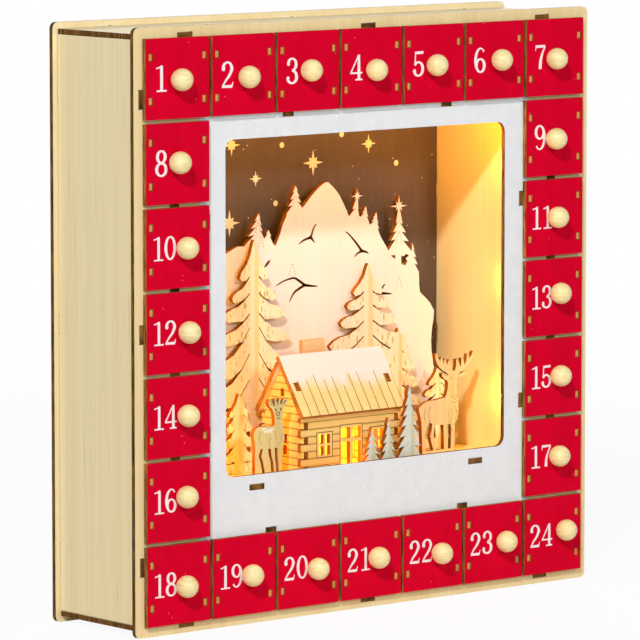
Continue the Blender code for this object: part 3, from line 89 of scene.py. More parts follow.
class Nodes:
    """Shader maths of a material or of the world; all its nodes come from its method called node."""

    def __init__(self, tree):
        self.tree = tree

    def node(self, kind, settings=(), sockets=(), out=0):
        """Lay down a node: its settings first, then the values or links of its sockets."""
        made = self.tree.nodes.new(kind)
        for name, value in dict(settings).items():
            setattr(made, name, value)
        for name, value in dict(sockets).items():
            if isinstance(value, Term):
                self.tree.links.new(value.socket, made.inputs[name])
            else:
                made.inputs[name].default_value = value
        return Term(self, made.outputs[out])

    def split(self, vector):
        """The three parts of a vector."""
        first = self.node("ShaderNodeSeparateXYZ", sockets={"Vector": vector})
        return [Term(self, output) for output in first.socket.node.outputs]

    def math(self, operation, *values):
        """Join numbers or terms by a Math node."""
        return self.node("ShaderNodeMath", {"operation": operation}, enumerate(values))

    def mixed(self, share, first, second):
        """Colour that goes from the first to the second with the share."""
        colours = [value if isinstance(value, Term) else (*value, 1.0) for value in (first, second)]
        return self.node("ShaderNodeMix", {"data_type": "RGBA"},
                         {0: share, 6: colours[0], 7: colours[1]}, out=2)

    def spread(self, value, low, high):
        """How far the value has come from low to high, from 0 to 1 with soft ends."""
        return self.node("ShaderNodeMapRange", {"interpolation_type": "SMOOTHSTEP"},
                         {"Value": value, "From Min": low, "From Max": high})

    def end(self, shader, output):
        """Join a shader to the tree's output."""
        self.tree.links.new(shader.socket, self.tree.nodes[output].inputs["Surface"])


class Finish(Nodes):
    """One Principled material with patterns placed by Object coordinates."""

    def __init__(self, name, **fixed):
        self.material = bpy.data.materials.new(name)
        self.material.use_nodes = True
        super().__init__(self.material.node_tree)
        self.shader = self.tree.nodes["Principled BSDF"]
        for socket, value in fixed.items():
            self.shader.inputs[socket.replace("_", " ")].default_value = value
        self.where = self.node("ShaderNodeTexCoord", out="Object")
        self.x, self.y, self.z = self.split(self.where)
        self.facing = dict(zip("XYZ", self.split(self.node("ShaderNodeTexCoord", out="Normal"))))

    def cloud(self, waves, detail=2.0, seed=0.0):
        """Noise from 0 to 1, with so many waves in a metre: one number, or one for x, y and z."""
        waves = np.broadcast_to(waves, 3).tolist()
        at = self.node("ShaderNodeVectorMath", {"operation": "MULTIPLY"}, {0: self.where, 1: waves})
        at = self.node("ShaderNodeVectorMath", {"operation": "ADD"}, {0: at, 1: (seed, seed, seed)})
        return self.node("ShaderNodeTexNoise", sockets={"Vector": at, "Scale": 1.0, "Detail": detail})

    def flakes(self, waves, size, few, seed=0.0):
        """Flecks in a grid of cells: so many cells in a metre, one number or one for x, y and z,
        each with a fleck of a size, as a share of the cell. Noise keeps a few of them."""
        waves = np.broadcast_to(waves, 3)
        at = self.node("ShaderNodeVectorMath", {"operation": "MULTIPLY"},
                       {0: self.where, 1: waves.tolist()})
        spot = self.node("ShaderNodeTexVoronoi", sockets={"Vector": at, "Scale": 1.0}) < size
        return spot * (self.cloud(0.7 * waves, 0.0, seed) > few)

    def wrapped(self, value, pitch):
        """The value brought within half a pitch of zero by whole pitches."""
        return self.math("WRAP", value, pitch / 2, -pitch / 2)

    def link(self, **sockets):
        """Feed the shader's sockets."""
        for name, value in sockets.items():
            self.tree.links.new(value.socket, self.shader.inputs[name.replace("_", " ")])

    def bumped(self, height, depth):
        """Raise the surface by the height times a depth in metres."""
        self.link(Normal=self.node("ShaderNodeBump", sockets={"Height": height, "Distance": depth}))


def screen(red, green, blue):
    """Linear colour of a screen's 0 to 255 values: the screen's power curve, undone."""
    values = np.array([red, green, blue]) / 255
    return tuple(np.where(values <= 0.04045, values / 12.92, ((values + 0.055) / 1.055) ** 2.4).tolist())


WOOD = (screen(250, 234, 190), screen(243, 221, 171))
BURNT = (screen(66, 43, 20), screen(158, 112, 58))
PORE = screen(206, 176, 122)
ACROSS_GRAIN = 620.0
ALONG_GRAIN = 9.0


def wood_colour(finish, grain, shades=WOOD, pored=0.5):
    """Bare poplar: fine streaks along the grain over broad pale and deep bands, and pores."""
    waves = np.full(3, ACROSS_GRAIN)
    waves["XYZ".index(grain)] = ALONG_GRAIN
    streaks = finish.cloud(waves, 3.0)
    bands = finish.cloud(waves / 7, 2.0, 5.0)
    pores = finish.spread(finish.cloud(waves * 1.9, 2.0, 9.0), 0.64, 0.74)
    tone = finish.spread(0.5 * streaks + 0.5 * bands, 0.30, 0.75)
    return finish.mixed(pored * pores, finish.mixed(tone, *shades), PORE), streaks


def burnt_colour(finish, burns=BURNT):
    """Laser-cut edge: char, with paler streaks along the plies."""
    streaks = finish.cloud((110.0, 1500.0, 110.0), 2.0, 2.0)
    return finish.mixed(finish.spread(streaks, 0.30, 0.80), *burns)


def plywood(name, faces="Y", grain="Z", paint=None, shades=WOOD, burns=BURNT, pored=0.5):
    """Plywood whose sheets face along the given axes: grain on the faces, burnt cut edges.

    A paint function takes the finish and the bare colour and gives the colour of the faces."""
    finish = Finish(name, Roughness=0.62, Specular_IOR_Level=0.03)
    bare, streaks = wood_colour(finish, grain, shades, pored)
    turned = abs(finish.facing[faces[0]])
    for axis in faces[1:]:
        turned = turned | abs(finish.facing[axis])
    face = paint(finish, bare) if paint else bare
    finish.link(Base_Color=finish.mixed(turned < 0.5, face, burnt_colour(finish, burns)))
    finish.bumped(streaks, 0.06 * pored * MM)
    return finish.material


SPRAY_HALF = 110.0 * MM
SPRAY_EDGE = 1.5 * MM
SPRAY_WAVE = 2.0 * MM
SPRAY_WHITE = (screen(228, 230, 232), screen(233, 235, 236))
GLITTER = screen(255, 255, 255)
PANEL_WOOD = (screen(240, 218, 168), screen(230, 203, 146))


def faces_front(finish):
    """1 on faces that look to the front, and 0 on others."""
    return finish.facing["Y"] < -0.5


def glitter_white(finish, bare):
    """White spray paint round the window with a soft border and scattered bright flakes."""
    reach = abs(finish.x) | abs(finish.z - MIDDLE)
    reach = reach + SPRAY_WAVE * finish.cloud(70.0, 3.0)
    sprayed = finish.spread(reach, SPRAY_HALF + SPRAY_EDGE, SPRAY_HALF - SPRAY_EDGE)
    sprayed = sprayed * faces_front(finish)
    mottle = finish.spread(finish.cloud(130.0, 4.0, 3.0), 0.3, 0.7)
    flake = finish.flakes(400.0, 0.17, 0.61) * sprayed
    finish.link(Roughness=0.62 - 0.45 * flake)
    paint = finish.mixed(flake, finish.mixed(mottle, *SPRAY_WHITE), GLITTER)
    return finish.mixed(sprayed, bare, paint)


def dress(material, *nodes):
    """Give carried-over solids their finish."""
    for node in nodes:
        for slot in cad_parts[node].material_slots:
            slot.material = material


dress(plywood("front_panel", paint=glitter_white, shades=PANEL_WOOD), "front_panel")
dress(plywood("case_sides", faces="X"), "left_side", "right_side")
dress(plywood("case_ends", faces="Z", grain="X"), "top_panel", "bottom_panel")


# The back panel carries the night sky: charcoal print on its inner face behind the scene, with
# cream stars and dots. Its outer face is bare, with the burnt slots of the tabs, the battery
# opening and the switch slot.

NICHE = abs(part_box("left_rack")[1][0])
SKY = (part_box("back_panel")[0][1] - FRONT) / MM
INKS = (screen(94, 81, 73), screen(99, 85, 76))
CREAM = screen(255, 240, 205)
DEEP_CREAM = screen(250, 226, 176)
PRINT_LIFT = 0.04


def night_print(finish, bare):
    """Charcoal print within the niche, streaked by the wood's fibres, with specks left out."""
    inside = faces_front(finish) * ((abs(finish.x) | abs(finish.z - MIDDLE)) < NICHE)
    fibres = finish.spread(finish.cloud((300.0, 300.0, 60.0), 4.0, 4.0), 0.3, 0.7)
    ink = finish.mixed(finish.flakes(330.0, 0.10, 0.64), finish.mixed(fibres, *INKS), CREAM)
    return finish.mixed(inside, bare, ink)


def mottled(name, waves, detail, first, second, **fixed):
    """One material whose colour a cloud takes from the first of two near tones to the second."""
    finish = Finish(name, **fixed)
    finish.link(Base_Color=finish.mixed(finish.cloud(waves, detail), first, second))
    return finish.material


def upright(u, v, depth):
    """Points on a sheet that faces the front: mm to the right and up of the panel's middle, and
    mm behind its front face."""
    return MM * np.stack(np.broadcast_arrays(u, depth, v), axis=-1) + (0.0, FRONT, MIDDLE)


def skin(rings):
    """Closed surface through rings of points, each ring joined to the next, with flat ends."""
    count, around = rings.shape[:2]
    index = np.arange(count * around).reshape(count, around)
    ahead = np.roll(index, -1, axis=1)
    quads = np.stack([index[:-1], ahead[:-1], ahead[1:], index[1:]], axis=-1).reshape(-1, 4)
    return rings.reshape(-1, 3), [*quads.tolist(), index[0].tolist(), index[-1].tolist()]


def piece(name, parts, material, body="case", smooth=False):
    """One object from (points, faces) parts, its faces turned outwards, riding on a body."""
    starts = np.cumsum([0] + [len(points) for points, _ in parts[:-1]]).tolist()
    faces = [[start + corner for corner in face]
             for start, (_, own_faces) in zip(starts, parts) for face in own_faces]
    mesh = bpy.data.meshes.new(name)
    mesh.from_pydata(np.concatenate([points for points, _ in parts]), [], faces)
    work = bmesh.new()
    work.from_mesh(mesh)
    bmesh.ops.recalc_face_normals(work, faces=work.faces)
    work.to_mesh(mesh)
    work.free()
    if smooth:
        mesh.shade_smooth()
        mesh.set_sharp_from_angle(angle=math.radians(40))
    mesh.materials.append(material)
    item = bpy.data.objects.new(name, mesh)
    bpy.context.collection.objects.link(item)
    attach(item, body)


CORNERS = np.arange(16)


def spot(u, v, radius, depth):
    """Printed spot on a sheet that faces the front: a closed line of corners round its middle, at
    one radius or at one each."""
    angle = math.pi / 8 * CORNERS
    edge = [u + radius * np.sin(angle), v + radius * np.cos(angle)]
    return skin(np.stack([upright(*edge, depth), upright(*edge, depth - PRINT_LIFT)]))


LONG_RAY = 1.08
SHORT_RAY = 0.6264
STAR_WAIST = 0.378


def star(u, v, reach):
    """Star of eight rays: the corners' radius goes long, waist, short, waist round its middle."""
    share = np.select([CORNERS % 4 == 0, CORNERS % 4 == 2], [LONG_RAY, SHORT_RAY], STAR_WAIST)
    return spot(u, v, reach * share, SKY)


# Stars as (u, v, reach) and dots as (u, v), in mm from the panel's middle.
STARS = ((17.9, 71.4, 6.3), (55.5, 79.3, 4.6), (-20.4, 65.3, 3.8), (-36.2, 83.2, 5.2),
         (-37.7, 43.4, 6.4), (-70.0, 70.0, 5.0), (-84.0, 52.0, 4.2), (-60.0, 88.0, 3.6))
DOTS = ((-3.0, 81.6), (37.2, 85.1), (74.5, 68.3), (-7.2, 51.9), (-52.0, 62.0), (-88.0, 84.0),
        (90.0, 88.0))
DOT_RADIUS = 1.5
star_print = mottled("star_print", 300.0, 3.0, CREAM, DEEP_CREAM, Roughness=0.6)
printed = [star(*place) for place in STARS] + [spot(u, v, DOT_RADIUS, SKY) for u, v in DOTS]
piece("sky_stars", printed, star_print)
dress(plywood("back_panel", paint=night_print), "back_panel")


# The racks and the scene's floor: two shelves with dividers, two niche walls with ledges and
# the floor between them, cut from the same plywood and glued up. The lamps light the right wall,
# and the shelves' front edges show as burnt lines between the drawers.

NICHE_WOOD = (screen(252, 224, 158), screen(248, 215, 143))
FEW_PORES = 0.15
dress(plywood("shelf_racks", faces="XZ", grain="Y"), "upper_rack", "lower_rack")
dress(plywood("niche_walls", faces="XZ", shades=NICHE_WOOD, pored=FEW_PORES),
      "left_rack", "right_rack")
dress(plywood("scene_floor", faces="Z", grain="X", shades=NICHE_WOOD), "scene_floor")


# Twenty-four drawers: a red painted front with the ends of the tray's tabs showing in it, a
# bare tray, a turned wooden bead glued on as the knob, and a white number printed beside it.

DRAWERS = sorted(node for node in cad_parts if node.startswith("drawer_"))
PITCH = (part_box(DRAWERS[6])[1][0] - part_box(DRAWERS[0])[1][0]) / 6
REDS = (screen(214, 0, 42), screen(206, 0, 38))
WORN_RED = screen(235, 120, 120)
TRAY_BURNT = (screen(92, 62, 28), screen(190, 140, 74))
TAB_WOOD = (screen(224, 168, 90), screen(190, 130, 62))
TAB_BURNT = screen(96, 58, 24)
# Places on a drawer: depths from the panel's front face, and distances from the drawer's middle.
SHEET_BACK = -0.2 * MM
PAINT_BACK = -2.65 * MM
SHEET_EDGE = 19.0 * MM
TRAY_RIM = 16.9 * MM
TAB_ACROSS = 16.75 * MM
TAB_RISE = 10.7 * MM
TAB_HALF = (0.9 * MM, 1.65 * MM)


def drawer_paint():
    """Red on the front face alone; the cut edges of front and tray burnt, the tray bare."""
    finish = Finish("drawer_red_and_ply", Roughness=0.55, Specular_IOR_Level=0.03)
    bare, streaks = wood_colour(finish, "Y")
    across = abs(finish.wrapped(finish.x, PITCH))
    rise = finish.wrapped(finish.z - MIDDLE, PITCH)
    behind = finish.y - FRONT
    front = faces_front(finish)
    sheet = behind < SHEET_BACK
    cloudy = finish.spread(finish.cloud((150.0, 150.0, 40.0), 4.0, 6.0), 0.3, 0.7)
    red = finish.mixed(finish.flakes(260.0, 0.08, 0.70), finish.mixed(cloudy, *REDS), WORN_RED)
    rim = (rise > TRAY_RIM) * (finish.facing["Z"] > 0.5)
    cut = (sheet * (abs(finish.facing["Y"]) < 0.5)) | rim | ((across > SHEET_EDGE) * sheet)
    colour = finish.mixed(cut, bare, burnt_colour(finish, TRAY_BURNT))
    tab_rim = (abs(across - TAB_ACROSS) > TAB_HALF[0]) | (abs(abs(rise) - TAB_RISE) > TAB_HALF[1])
    tab = finish.mixed(tab_rim, finish.mixed(finish.cloud(300.0), *TAB_WOOD), TAB_BURNT)
    colour = finish.mixed(sheet * front, colour, tab)
    finish.link(Base_Color=finish.mixed((behind < PAINT_BACK) * front, colour, red))
    finish.bumped(streaks, 0.02 * MM)
    return finish.material


BEAD_WOOD = (screen(244, 230, 172), screen(232, 208, 142))
BEAD_RADIUS = 5.56
BEAD_FLAT = 1.15
BEAD_TIP = 0.03
BEAD_RINGS = 20
BEAD_SIDES = 40


def bead_finish():
    """Sanded pale bead: faint growth lines across it and a soft sheen."""
    finish = Finish("knob_beads", Roughness=0.42, Coat_Weight=0.12)
    lines = finish.cloud((260.0, 30.0, 700.0), 3.0, 1.0)
    finish.link(Base_Color=finish.mixed(finish.spread(lines, 0.3, 0.8), *BEAD_WOOD))
    finish.bumped(lines, 0.02 * MM)
    return finish.material


def bead(tip):
    """Ball with a glued flat: rings whose radius is the ball's sine from the flat to the tip."""
    flat = math.acos(1 - BEAD_FLAT / BEAD_RADIUS)
    polar = np.linspace(flat, math.pi - BEAD_TIP, BEAD_RINGS)[:, None]
    turn = np.linspace(0, 2 * math.pi, BEAD_SIDES, endpoint=False)[None, :]
    ball = [np.sin(polar) * np.cos(turn), np.cos(polar), np.sin(polar) * np.sin(turn)]
    ball = np.stack(np.broadcast_arrays(*ball), axis=-1)
    return skin(MM * BEAD_RADIUS * ball + tip + (0, MM * BEAD_RADIUS, 0))


def foremost(node):
    """Middle of the points that stand out furthest to the front: the tip of the knob."""
    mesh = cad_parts[node].data
    points = np.empty(3 * len(mesh.vertices))
    mesh.vertices.foreach_get("co", points)
    points = points.reshape(-1, 3)
    return points[points[:, 1] < points[:, 1].min() + 0.1 * MM].mean(axis=0)


def eased(knots, steps):
    """Smooth curve through the knots: between each two a cubic of the share of the way, whose
    slope at a knot is half the step from the knot before it to the one after."""
    knots = np.asarray(knots, float)
    ends = np.vstack([2 * knots[0] - knots[1], knots, 2 * knots[-1] - knots[-2]])
    share = np.linspace(0, 1, steps, endpoint=False)[None, :, None]
    before, start, stop, after = [ends[shift:len(ends) - 3 + shift, None, :] for shift in range(4)]
    line = 0.5 * (2 * start + (stop - before) * share
                  + (2 * before - 5 * start + 4 * stop - after) * share ** 2
                  + (3 * start - before - 3 * stop + after) * share ** 3)
    return np.vstack([line.reshape(-1, knots.shape[1]), knots[-1]])


def stroke(knots, depth, lift, steps=6):
    """Flat ribbon along a curve on a sheet that faces the front: each knot is (u, v, width)."""
    line = eased(knots, steps)
    along = np.gradient(line[:, :2], axis=0)
    along /= np.linalg.norm(along, axis=1, keepdims=True)
    across = np.stack([-along[:, 1], along[:, 0]], axis=1) * line[:, 2:] / 2
    left, right = line[:, :2] + across, line[:, :2] - across
    corners = [(left, 0.0), (right, 0.0), (right, lift), (left, lift)]
    return skin(np.stack([upright(*edge.T, depth - rise) for edge, rise in corners], axis=1))


THIN = 0.065
THICK = 0.135


def bow(u, v, reach_u, reach_v, begin, end):
    """Knots round an oval, thick where it runs upright and thin where it runs level."""
    angle = np.radians(np.linspace(begin, end, 3 + abs(end - begin) // 40))
    width = THIN + (THICK - THIN) * np.abs(np.cos(angle)) ** 1.4
    return np.stack([u + reach_u * np.cos(angle), v + reach_v * np.sin(angle), width], axis=1)


def joined(*runs):
    """Knots of several runs, one after the other."""
    return np.vstack(runs)


# Figures in a box one high: strokes through knots of (u, v, width).
SIX = (joined([(0.41, 0.83, 0.07), (0.36, 0.92, 0.06), (0.27, 0.965, 0.06)],
              bow(0.27, 0.50, 0.20, 0.455, 115, 245), [(0.27, 0.04, 0.07)]),
       bow(0.265, 0.295, 0.165, 0.255, -90, 190))
TAIL = [(0.08, 0.18, 0.08), (0.085, 0.24, 0.14), (0.09, 0.30, 0.08)]
GLYPHS = {
    "0": (bow(0.26, 0.5, 0.185, 0.455, 90, 450),),
    "1": ([(0.28, 0.965, 0.10), (0.28, 0.80, 0.125), (0.28, 0.05, 0.125)],
          [(0.30, 0.945, 0.09), (0.20, 0.90, 0.06), (0.08, 0.865, 0.05)],
          [(0.09, 0.03, 0.06), (0.47, 0.03, 0.06)]),
    "2": (joined(bow(0.26, 0.72, 0.165, 0.235, 190, -10),
                 [(0.33, 0.46, 0.11), (0.19, 0.27, 0.08), (0.08, 0.08, 0.06)]),
          [(0.05, 0.055, 0.09), (0.25, 0.055, 0.10), (0.44, 0.055, 0.11)],
          [(0.425, 0.03, 0.06), (0.47, 0.22, 0.03)],
          [(0.11, 0.64, 0.09), (0.115, 0.74, 0.15), (0.12, 0.79, 0.08)]),
    "3": (bow(0.245, 0.745, 0.155, 0.22, 170, -90), bow(0.24, 0.275, 0.18, 0.235, 90, -170),
          [(0.10, 0.70, 0.08), (0.105, 0.77, 0.14), (0.11, 0.82, 0.08)], TAIL),
    "4": ([(0.36, 0.97, 0.06), (0.20, 0.63, 0.06), (0.04, 0.30, 0.06)],
          [(0.02, 0.285, 0.065), (0.50, 0.285, 0.065)],
          [(0.365, 0.97, 0.10), (0.365, 0.5, 0.13), (0.365, 0.05, 0.13)],
          [(0.22, 0.03, 0.06), (0.50, 0.03, 0.06)]),
    "5": ([(0.10, 0.92, 0.09), (0.25, 0.925, 0.10), (0.44, 0.93, 0.10)],
          [(0.125, 0.95, 0.05), (0.115, 0.70, 0.05), (0.10, 0.48, 0.05)],
          bow(0.24, 0.305, 0.18, 0.26, 145, -170), TAIL),
    "6": SIX,
    "7": ([(0.06, 0.915, 0.10), (0.25, 0.915, 0.10), (0.46, 0.92, 0.09)],
          [(0.075, 0.95, 0.05), (0.06, 0.75, 0.03)],
          [(0.455, 0.90, 0.07), (0.34, 0.63, 0.09), (0.27, 0.35, 0.13), (0.25, 0.03, 0.15)]),
    "8": (bow(0.26, 0.745, 0.145, 0.215, 90, 450), bow(0.26, 0.275, 0.175, 0.235, 90, 450)),
    "9": tuple(np.asarray(run) * (-1, -1, 1) + (0.52, 1.0, 0.0) for run in SIX),
}
# A number of one figure and of two: where it starts from the drawer's middle, and its height.
SINGLE = (-14.6, 13.2)
DOUBLE = (-16.4, 12.1)
NARROW_STEP = 0.50
WIDE_STEP = 0.555
FIGURE_WIDE = 1.25
FIGURE_BOLD = 1.03
FIGURE_RISE = 0.4
FRONT_FACE = -2.8
STROKE_LIFT = 0.004


def number(text, u0, v0):
    """White figures of a drawer, printed left of its knob; each stroke lies a hair over the last."""
    start, height = SINGLE if len(text) == 1 else DOUBLE
    u0 += start
    parts = []
    for figure in text:
        for layer, run in enumerate(GLYPHS[figure]):
            scaled = np.asarray(run, float) * height * (FIGURE_WIDE, 1.0, FIGURE_BOLD)
            scaled += (u0, v0 - height / 2 + FIGURE_RISE, 0.0)
            parts.append(stroke(scaled, FRONT_FACE - STROKE_LIFT * layer, PRINT_LIFT))
        u0 += height * FIGURE_WIDE * (NARROW_STEP if figure == "1" else WIDE_STEP)
    return parts


number_print = mottled("white_numbers", 400.0, 3.0, screen(250, 240, 242), screen(238, 222, 226),
                       Roughness=0.5)
drawer_finish = drawer_paint()
bead_wood = bead_finish()
for node in DRAWERS:
    low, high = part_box(node)
    u, v = (low[0] + high[0]) / 2 / MM, ((low[2] + high[2]) / 2 - MIDDLE) / MM
    tip = foremost(node)
    day = node[-2:]
    dress(drawer_finish, node)
    piece("knob_" + day, [bead(tip)], bead_wood, node, smooth=True)
    piece("number_" + day, number(str(int(day)), u, v), number_print, node)


# The scene: plates laser-cut from the same plywood, stood in slots of the floor. From back to
# front: the mountain, the tall firs, the low firs, the stag, the doe and three snow firs. Cracks
# are cut through; needles, faces and coats are burnt on as thin lines.

SCENE_WOOD = (screen(250, 232, 198), screen(245, 220, 178))
MOUNTAIN_WOOD = (screen(249, 234, 221), screen(247, 228, 211))
STAG_WOOD = (screen(246, 208, 150), screen(236, 192, 128))
DOE_WOOD = (screen(226, 206, 146), screen(212, 188, 120))
SCENE_BURNT = (screen(122, 66, 14), screen(198, 116, 30))
NEEDLE = screen(190, 156, 44)
# Painted shade in a warm tone, laid on the right half of each fir trunk.
TRUNK_PAINTED_SHADE = screen(250, 196, 110)
BURN_LIFT = 0.03


def needled(trunks):
    """Paint for a fir plate: short upright needle strokes, but none on the trunks, each given as
    (u, half its width) in mm, whose right halves get a warmer painted shade."""
    def paint(finish, bare):
        trunk = 0.0
        warm = 0.0
        for u, half in trunks:
            reach = finish.x - u * MM
            on_trunk = abs(reach) < half * MM
            trunk = on_trunk | trunk
            # Painted shade: each trunk's right half turns towards the warmer colour, standing in for
            # lamp light and shade.
            warm = warm + on_trunk * finish.spread(reach, -0.2 * half * MM, 0.3 * half * MM)
        long = finish.flakes((520.0, 60.0, 150.0), 0.30, 0.50, 4.0)
        short = finish.flakes((880.0, 60.0, 240.0), 0.30, 0.54, 7.0)
        face = finish.mixed(0.75 * (long | short) * (1 - trunk), bare, NEEDLE)
        return finish.mixed(0.6 * warm, face, TRUNK_PAINTED_SHADE)
    return paint


def scene_plate(node, paint=None, shades=SCENE_WOOD):
    """Dress a plate of the scene, warm pale with orange-brown burnt edges, and give the depth of
    its front face."""
    material = plywood(node, paint=paint, shades=shades, burns=SCENE_BURNT, pored=FEW_PORES)
    dress(material, node)
    return (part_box(node)[0][1] - FRONT) / MM


def burnt_lines(name, runs, depth, width, material, steps=4):
    """Thin burnt lines on a plate that faces the front; each run lists (u, v) points at the given
    width, or (u, v, width) points."""
    runs = [[(*point[:2], *(point[2:] or (width,))) for point in run] for run in runs]
    piece(name, [stroke(run, depth, BURN_LIFT, steps) for run in runs], material)


def burn_finish(name, colour):
    """Scorched line: the burn's colour, paler in patches along the line."""
    paler = tuple(min(1.0, 1.9 * part) for part in colour)
    return mottled(name, 500.0, 3.0, colour, paler, Roughness=0.7)


burn = burn_finish("burnt_line", screen(96, 62, 22))
faint_burn = burn_finish("faint_burnt_line", screen(136, 122, 58))


def little_fir(u, v, height):
    """Dotted outline of a small fir: dashes that step down from its tip on both sides, each
    followed by a short one back towards the trunk."""
    runs = []
    for side in (-1, 1):
        out = side * 0.30 * height
        for step in range(4):
            near, far = 0.12 + 0.24 * step, 0.27 + 0.24 * step
            outer = (u + out * far, v - height * far, 0.3)
            runs.append([(u + out * near, v - height * near, 0.25), outer])
            runs.append([outer, (u + out * (far - 0.16), v - height * (far - 0.02), 0.2)])
    return runs


LITTLE_FIRS = ((-4.8, 22.4, 7.0), (67.6, 10.5, 7.0), (-69.5, 37.0, 8.0), (-27.4, 45.0, 6.0),
               (67.5, 34.5, 7.5), (-2.6, 57.0, 6.0), (-69.0, 30.0, 7.0), (-25.5, 37.5, 6.0))
FIR_TRUNKS = {"fir_left": [(-34.1, 3.0)], "fir_right": [(42.2, 3.1), (62.9, 2.7)],
              "fir_grove": [(85.3, 1.9)], "fir_near": [(-56.4, 3.1)]}
mountain_face = scene_plate("mountain", shades=MOUNTAIN_WOOD)
burnt_lines("mountain_burns", [run for place in LITTLE_FIRS for run in little_fir(*place)],
            mountain_face, 0.3, faint_burn, 2)
for node, trunks in FIR_TRUNKS.items():
    scene_plate(node, needled(trunks))

stag_face = scene_plate("stag", shades=STAG_WOOD)
burnt_lines("stag_burns", [
    [(73.0, -39.6), (74.2, -40.9), (75.2, -41.2)], [(79.6, -40.0), (78.4, -41.4), (77.6, -41.6)],
    [(71.3, -39.2), (69.6, -38.7), (68.9, -38.2)], [(82.1, -39.6), (81.0, -40.8), (79.9, -41.2)],
    [(74.6, -43.6), (75.2, -46.6), (74.4, -49.2), (75.4, -50.6)],
    [(78.6, -42.8), (78.0, -46.0), (78.6, -48.8), (77.8, -50.3)],
    [(74.8, -50.4), (76.6, -49.7), (78.4, -50.4), (76.6, -52.0), (74.8, -50.4)],
    [(74.6, -52.6), (76.6, -53.6), (78.4, -52.4)],
    [(74.0, -56.0), (74.6, -60.0), (73.4, -64.5), (75.0, -69.0)],
    [(76.8, -55.0), (77.4, -60.0), (76.2, -65.5)], [(77.6, -57.0), (78.3, -62.0), (77.3, -67.0)],
    [(71.9, -57.5), (72.6, -62.0), (71.0, -66.5), (72.6, -71.0), (74.2, -72.2)],
    [(59.6, -54.2), (58.4, -58.0), (59.2, -62.2), (58.6, -65.5)],
    [(56.2, -55.0), (55.3, -58.6), (56.0, -61.0)]], stag_face, 0.32, faint_burn)

doe_face = scene_plate("doe", shades=DOE_WOOD)
burnt_lines("doe_burns", [
    [(-50.9, -45.1, 0.5), (-50.7, -45.8, 1.1), (-50.4, -46.5, 0.5)],
    [(-47.3, -45.1, 0.5), (-47.4, -45.9, 1.1), (-47.6, -46.6, 0.5)],
    [(-50.3, -47.4, 0.45), (-49.2, -47.1, 0.4), (-48.1, -47.5, 0.45), (-48.3, -48.5, 0.45),
     (-49.2, -48.9, 0.45), (-50.1, -48.4, 0.45), (-50.3, -47.4, 0.45)],
    [(-50.1, -49.9), (-49.5, -50.5), (-49.1, -50.1), (-48.6, -50.6), (-48.0, -50.0)],
    [(-53.8, -41.2, 0.5), (-52.2, -42.2, 0.9), (-51.2, -43.9, 0.4)],
    [(-50.4, -40.9, 1.0), (-49.4, -41.9, 0.9), (-49.1, -43.6, 0.4)],
    [(-46.7, -41.2, 1.0), (-47.3, -42.1, 0.9), (-47.5, -43.4, 0.4)],
    [(-43.7, -41.6, 0.5), (-44.9, -42.3, 0.8), (-45.7, -43.7, 0.4)],
    [(-54.2, -42.6), (-53.0, -43.0), (-51.9, -44.0)]], doe_face, 0.35, burn)
burnt_lines("doe_curves", [
    [(-60.5, -56.4), (-61.3, -58.9), (-60.8, -61.7), (-59.6, -63.3)],
    [(-53.0, -59.8), (-54.9, -60.9), (-54.9, -62.9), (-53.8, -64.0)],
    [(-51.0, -56.2), (-50.9, -59.2), (-50.0, -61.2)],
    [(-46.1, -58.1), (-47.4, -59.8), (-47.2, -62.1), (-48.7, -63.2)]], doe_face, 0.3, faint_burn)
DOE_SPOTS = ((-59.0, -55.0, 0.7), (-57.7, -54.9, 0.55), (-57.5, -56.5, 0.7), (-56.5, -55.9, 0.5),
             (-55.1, -56.0, 0.85), (-54.0, -56.7, 0.6), (-53.5, -55.7, 0.5), (-52.6, -55.6, 0.5),
             (-55.9, -57.2, 0.4))
spot_print = mottled("doe_spots", 600.0, 2.0, screen(250, 244, 232), screen(232, 224, 208),
                     Roughness=0.5)
piece("doe_back_spots", [spot(*place, doe_face) for place in DOE_SPOTS], spot_print)

SNOW_TRUNKS = (7.6, 19.0, 33.9)
SNOW_PAINT = (screen(222, 221, 208), screen(126, 146, 156))
SNOW_WOOD = screen(222, 214, 190)
SNOW_BARK = screen(206, 200, 150)
BARK_HALF = (0.6 * MM, 1.7 * MM)


def snow_blue(finish, bare):
    """Bluish white paint with glitter, worn thin so that some wood shows, most of all down the
    trunks."""
    cover = finish.spread(finish.cloud(220.0, 4.0, 2.0), 0.25, 0.6)
    flake = finish.flakes(900.0, 0.2, 0.6)
    streak = finish.flakes((900.0, 100.0, 260.0), 0.28, 0.48, 3.0)
    paint = finish.mixed(flake, finish.mixed(0.6 * streak, *SNOW_PAINT), GLITTER)
    finish.link(Roughness=0.6 - 0.4 * flake)
    off = abs(finish.x - SNOW_TRUNKS[0] * MM)
    for trunk in SNOW_TRUNKS[1:]:
        off = finish.math("MINIMUM", off, abs(finish.x - trunk * MM))
    bark = finish.spread(off, BARK_HALF[1], BARK_HALF[0]) * 0.75
    return finish.mixed(bark, finish.mixed(cover, SNOW_WOOD, paint), SNOW_BARK)


scene_plate("snow_firs", snow_blue)
